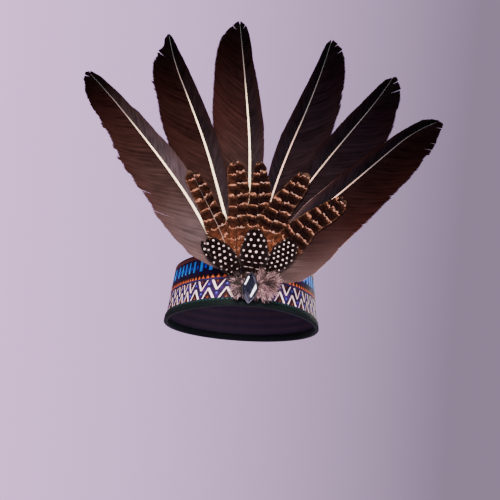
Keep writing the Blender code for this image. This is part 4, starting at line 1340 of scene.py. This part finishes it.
# Down tufts
def build_tuft(tuft, material):
    dice = np.random.default_rng(tuft["seed"])
    more = np.array(tuft["more_tips"]) * MM
    plumes, each = tuft["plumes"] + len(more), tuft["strands"]
    count = plumes * each
    centre, root = np.array(tuft["centre"]), np.array(tuft["root"])
    locks = np.array(tuft["locks"] + tuft["locks"][:1])

    def rim(angle):
        place = (angle / (2.0 * math.pi) % 1.0) * (len(locks) - 1)
        return np.interp(place, np.arange(len(locks)), locks) * tuft["reach"]

    # Plumes: tips spread evenly over the tuft, each axis bent a little
    number = np.arange(plumes)
    spin = number * GOLDEN_ANGLE + dice.normal(0.0, 0.12, plumes)
    ring = np.minimum(np.sqrt((number + 0.5) / tuft["plumes"]), 1.0)
    outward = np.stack([np.cos(spin), np.sin(spin)], axis=-1)
    tips = centre + outward * (ring * 0.97 * rim(spin))[:, None]
    tips[tuft["plumes"]:] = more
    way = tips - root
    far = np.maximum(np.linalg.norm(way, axis=1), 1.0 * MM)
    way = way / far[:, None]
    size = np.clip(far * 0.75, *PLUME_LENGTHS) * dice.uniform(0.85, 1.1, plumes)
    starts = tips - way * size[:, None]
    cross = np.stack([-way[:, 1], way[:, 0]], axis=-1)
    bend = dice.normal(0.0, 0.16, plumes)
    shade = dice.uniform(0.0, 1.0, plumes)
    shade[tuft["plumes"]:] = 0.0

    # Strands leave the axis on both sides and sweep towards its tip
    owner = np.repeat(number, each)
    leave = dice.uniform(0.0, 0.72, count)
    hand = dice.choice((-1.0, 1.0), count)
    run = dice.uniform(0.32, 0.6, count)
    open_to = dice.uniform(0.06, 0.34, count) * (1.0 - 0.5 * leave)
    rungs = len(STRAND_WIDTHS)
    stations = np.linspace(0.0, 1.0, rungs)[None, :]
    forward = leave[:, None] + run[:, None] * stations
    aside = hand[:, None] * open_to[:, None] * (1.4 * stations - 0.4 * stations ** 2)
    kink = dice.normal(0.0, 0.012, count)[:, None] * np.sin(stations * 7.0)
    aside = aside + bend[owner][:, None] * forward ** 2 + kink
    x, z = (
        starts[owner, i:i + 1] + size[owner][:, None] * (
            forward * way[owner, i:i + 1] + aside * cross[owner, i:i + 1])
        for i in (0, 1))

    # The tuft is domed, and its lower strands lie in front of the band
    level = np.clip(1.0 - 0.8 * ring[owner] + dice.normal(0.0, 0.1, count), 0.0, 1.0)
    spot = np.hypot(x - centre[0], z - centre[1])
    spot = spot / rim(np.arctan2(z - centre[1], x - centre[0]))
    dome = np.clip(1.0 - spot ** 2, 0.0, 1.0)
    rise = (0.35 + 0.8 * level[:, None]) * tuft["bulge"] * dome ** 0.6
    y = -FAN_FRONT - TUFT_FRONT - rise + (1.0 * MM) * (1.0 - level[:, None])
    y = y - 0.7 * MM * shade[owner][:, None] * np.sin(stations * 3.0)
    front = np.vectorize(band_front)(x, np.clip(z, 0.0, BAND_HEIGHT)) - TUFT_CLEARANCE
    y = np.where(z < TUFT_LOW, np.minimum(y, np.minimum(front, 0.0)), y)

    heading = unit(np.stack([np.gradient(x, axis=1), np.gradient(z, axis=1)], axis=-1))
    thick = dice.uniform(*STRAND_THICKNESS, count)[:, None] * MM * np.array(STRAND_WIDTHS)[None, :]
    middle = np.stack([x, y, z], axis=-1)
    side = np.stack([-heading[..., 1], np.zeros_like(x), heading[..., 0]], axis=-1)
    side = side * thick[..., None]
    proud = np.stack([np.zeros_like(x), -1.2 * thick, np.zeros_like(x)], axis=-1)
    points = np.stack([middle - side, middle + proud, middle + side], axis=2)
    turn = looks_back(points[0, 2, 0], points[0, 2, 1], points[0, 3, 1])
    faces, _ = strip_faces(count, rungs, 0, turn)
    piece = finish_piece(tuft["piece"], points.reshape(-1, 3), faces, (material,), smooth=True)
    mesh = piece.data
    add_values(mesh, "reach", np.repeat(np.clip(forward, 0.0, 1.0).reshape(-1), 3))
    tone = 0.4 * shade[owner] + 0.6 * dice.uniform(0.0, 1.0, count)
    add_values(mesh, "strand", np.repeat(tone, rungs * 3))
    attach(piece, "root")
    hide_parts(tuft["name"])
    return piece


# Lights, floor and background
def frame_matrix(place, right, up, ahead):
    rows = [(*row, spot) for row, spot in zip(zip(right, up, -np.array(ahead)), place)]
    return Matrix((*rows, (0.0, 0.0, 0.0, 1.0)))


def add_light(name, place, size, power, colour):
    data = bpy.data.lights.new(name, "AREA")
    data.shape = "RECTANGLE"
    data.size, data.size_y = size
    data.energy = power
    data.color = colour
    lamp = bpy.data.objects.new(name, data)
    bpy.context.scene.collection.objects.link(lamp)
    ahead = np.array(LIGHT_AIM) - np.array(place)
    ahead = ahead / np.linalg.norm(ahead)
    right = np.cross(ahead, (0.0, 0.0, 1.0))
    right = right / np.linalg.norm(right)
    lamp.matrix_world = frame_matrix(place, right, np.cross(right, ahead), ahead)


def set_background():
    world = bpy.data.worlds.new("soft studio")
    world.use_nodes = True
    graph = Graph(world.node_tree)
    back = world.node_tree.nodes["Background"]
    across, _, _ = graph.split(graph.node("ShaderNodeTexCoord").outputs["Generated"])
    stops = tuple(
        (place, tuple(FRONT_LIGHT * part for part in paint(code))) for place, code in WALL_SHADES)
    seen = Value(graph, graph.node("ShaderNodeLightPath").outputs["Is Camera Ray"])
    strength = seen.line(BACKDROP_SEEN - BACKDROP_LIGHT, BACKDROP_LIGHT)
    colour = graph.ramp(across.fade(2.6, 0.5), stops)
    graph.feed_all(back, {"Color": colour, "Strength": strength})
    bpy.context.scene.world = world


def add_floor():
    bpy.ops.mesh.primitive_plane_add(size=FLOOR_SIZE, location=(0.0, 0.0, FLOOR_HEIGHT))
    floor = bpy.context.active_object
    floor.name = "floor"
    graph = new_material("pale floor")
    colour = graph.mix(graph.noise(graph.object_place(), 3.0), "d2ccd8", "dcd7e0")
    floor.data.materials.append(graph.dress(colour, 0.8))


# Build everything
bpy.ops.object.select_all(action="DESELECT")
barbs = make_barb_group()
weave = make_weave_group()
wing_vanes = {row[0]: wing_material(barbs, *row[1:]) for row in WING_FINISHES}
barred_vanes = {key: barred_material(barbs, name, warmth) for key, name, warmth in BARRED_FINISHES}
dotted_vanes = {row[0]: dotted_material(barbs, *row[1:]) for row in DOTTED_FINISHES}
quills = {row[0]: quill_material(*row) for row in QUILL_FINISHES}

for number, row in enumerate(FEATHERS):
    if row.kind == "wing":
        vane = wing_vanes.get(row.name, wing_vanes["right"])
        quill = quills["pale quill" if row.side > 0 else "tan quill"]
    else:
        if row.kind == "barred":
            vane = barred_vanes["warm" if row.name in WARM_BARRED else "dark"]
        else:
            vane = dotted_vanes[row.name]
        quill = quills["grey quill" if row.name in GREY_QUILLED else "thin quill"]
    piece = build_feather(row, vane, quill, 100 + 10 * number)

for tuft in TUFTS:
    build_tuft(tuft, down_material(*tuft["finish"]))

band = build_band(ribbon_material(weave), reverse_material(weave))
tape = build_binding(binding_material(weave))
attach(band, "root")
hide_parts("band")
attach(tape, "root")
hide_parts("lower_binding")

for name, material in (("gem", stone_material()), ("gem_rim", rim_material())):
    nodes[name].data.materials.clear()
    nodes[name].data.materials.append(material)

add_floor()
set_background()
for light in LIGHTS:
    add_light(*light)

camera_data = bpy.data.cameras.new("camera")
camera_data.sensor_width = SENSOR_WIDTH
camera_data.lens = CAMERA_LENS
camera = bpy.data.objects.new("camera", camera_data)
bpy.context.scene.collection.objects.link(camera)
camera.matrix_world = frame_matrix(CAMERA_PLACE, CAMERA_RIGHT, CAMERA_UP, CAMERA_AHEAD)
bpy.context.scene.camera = camera
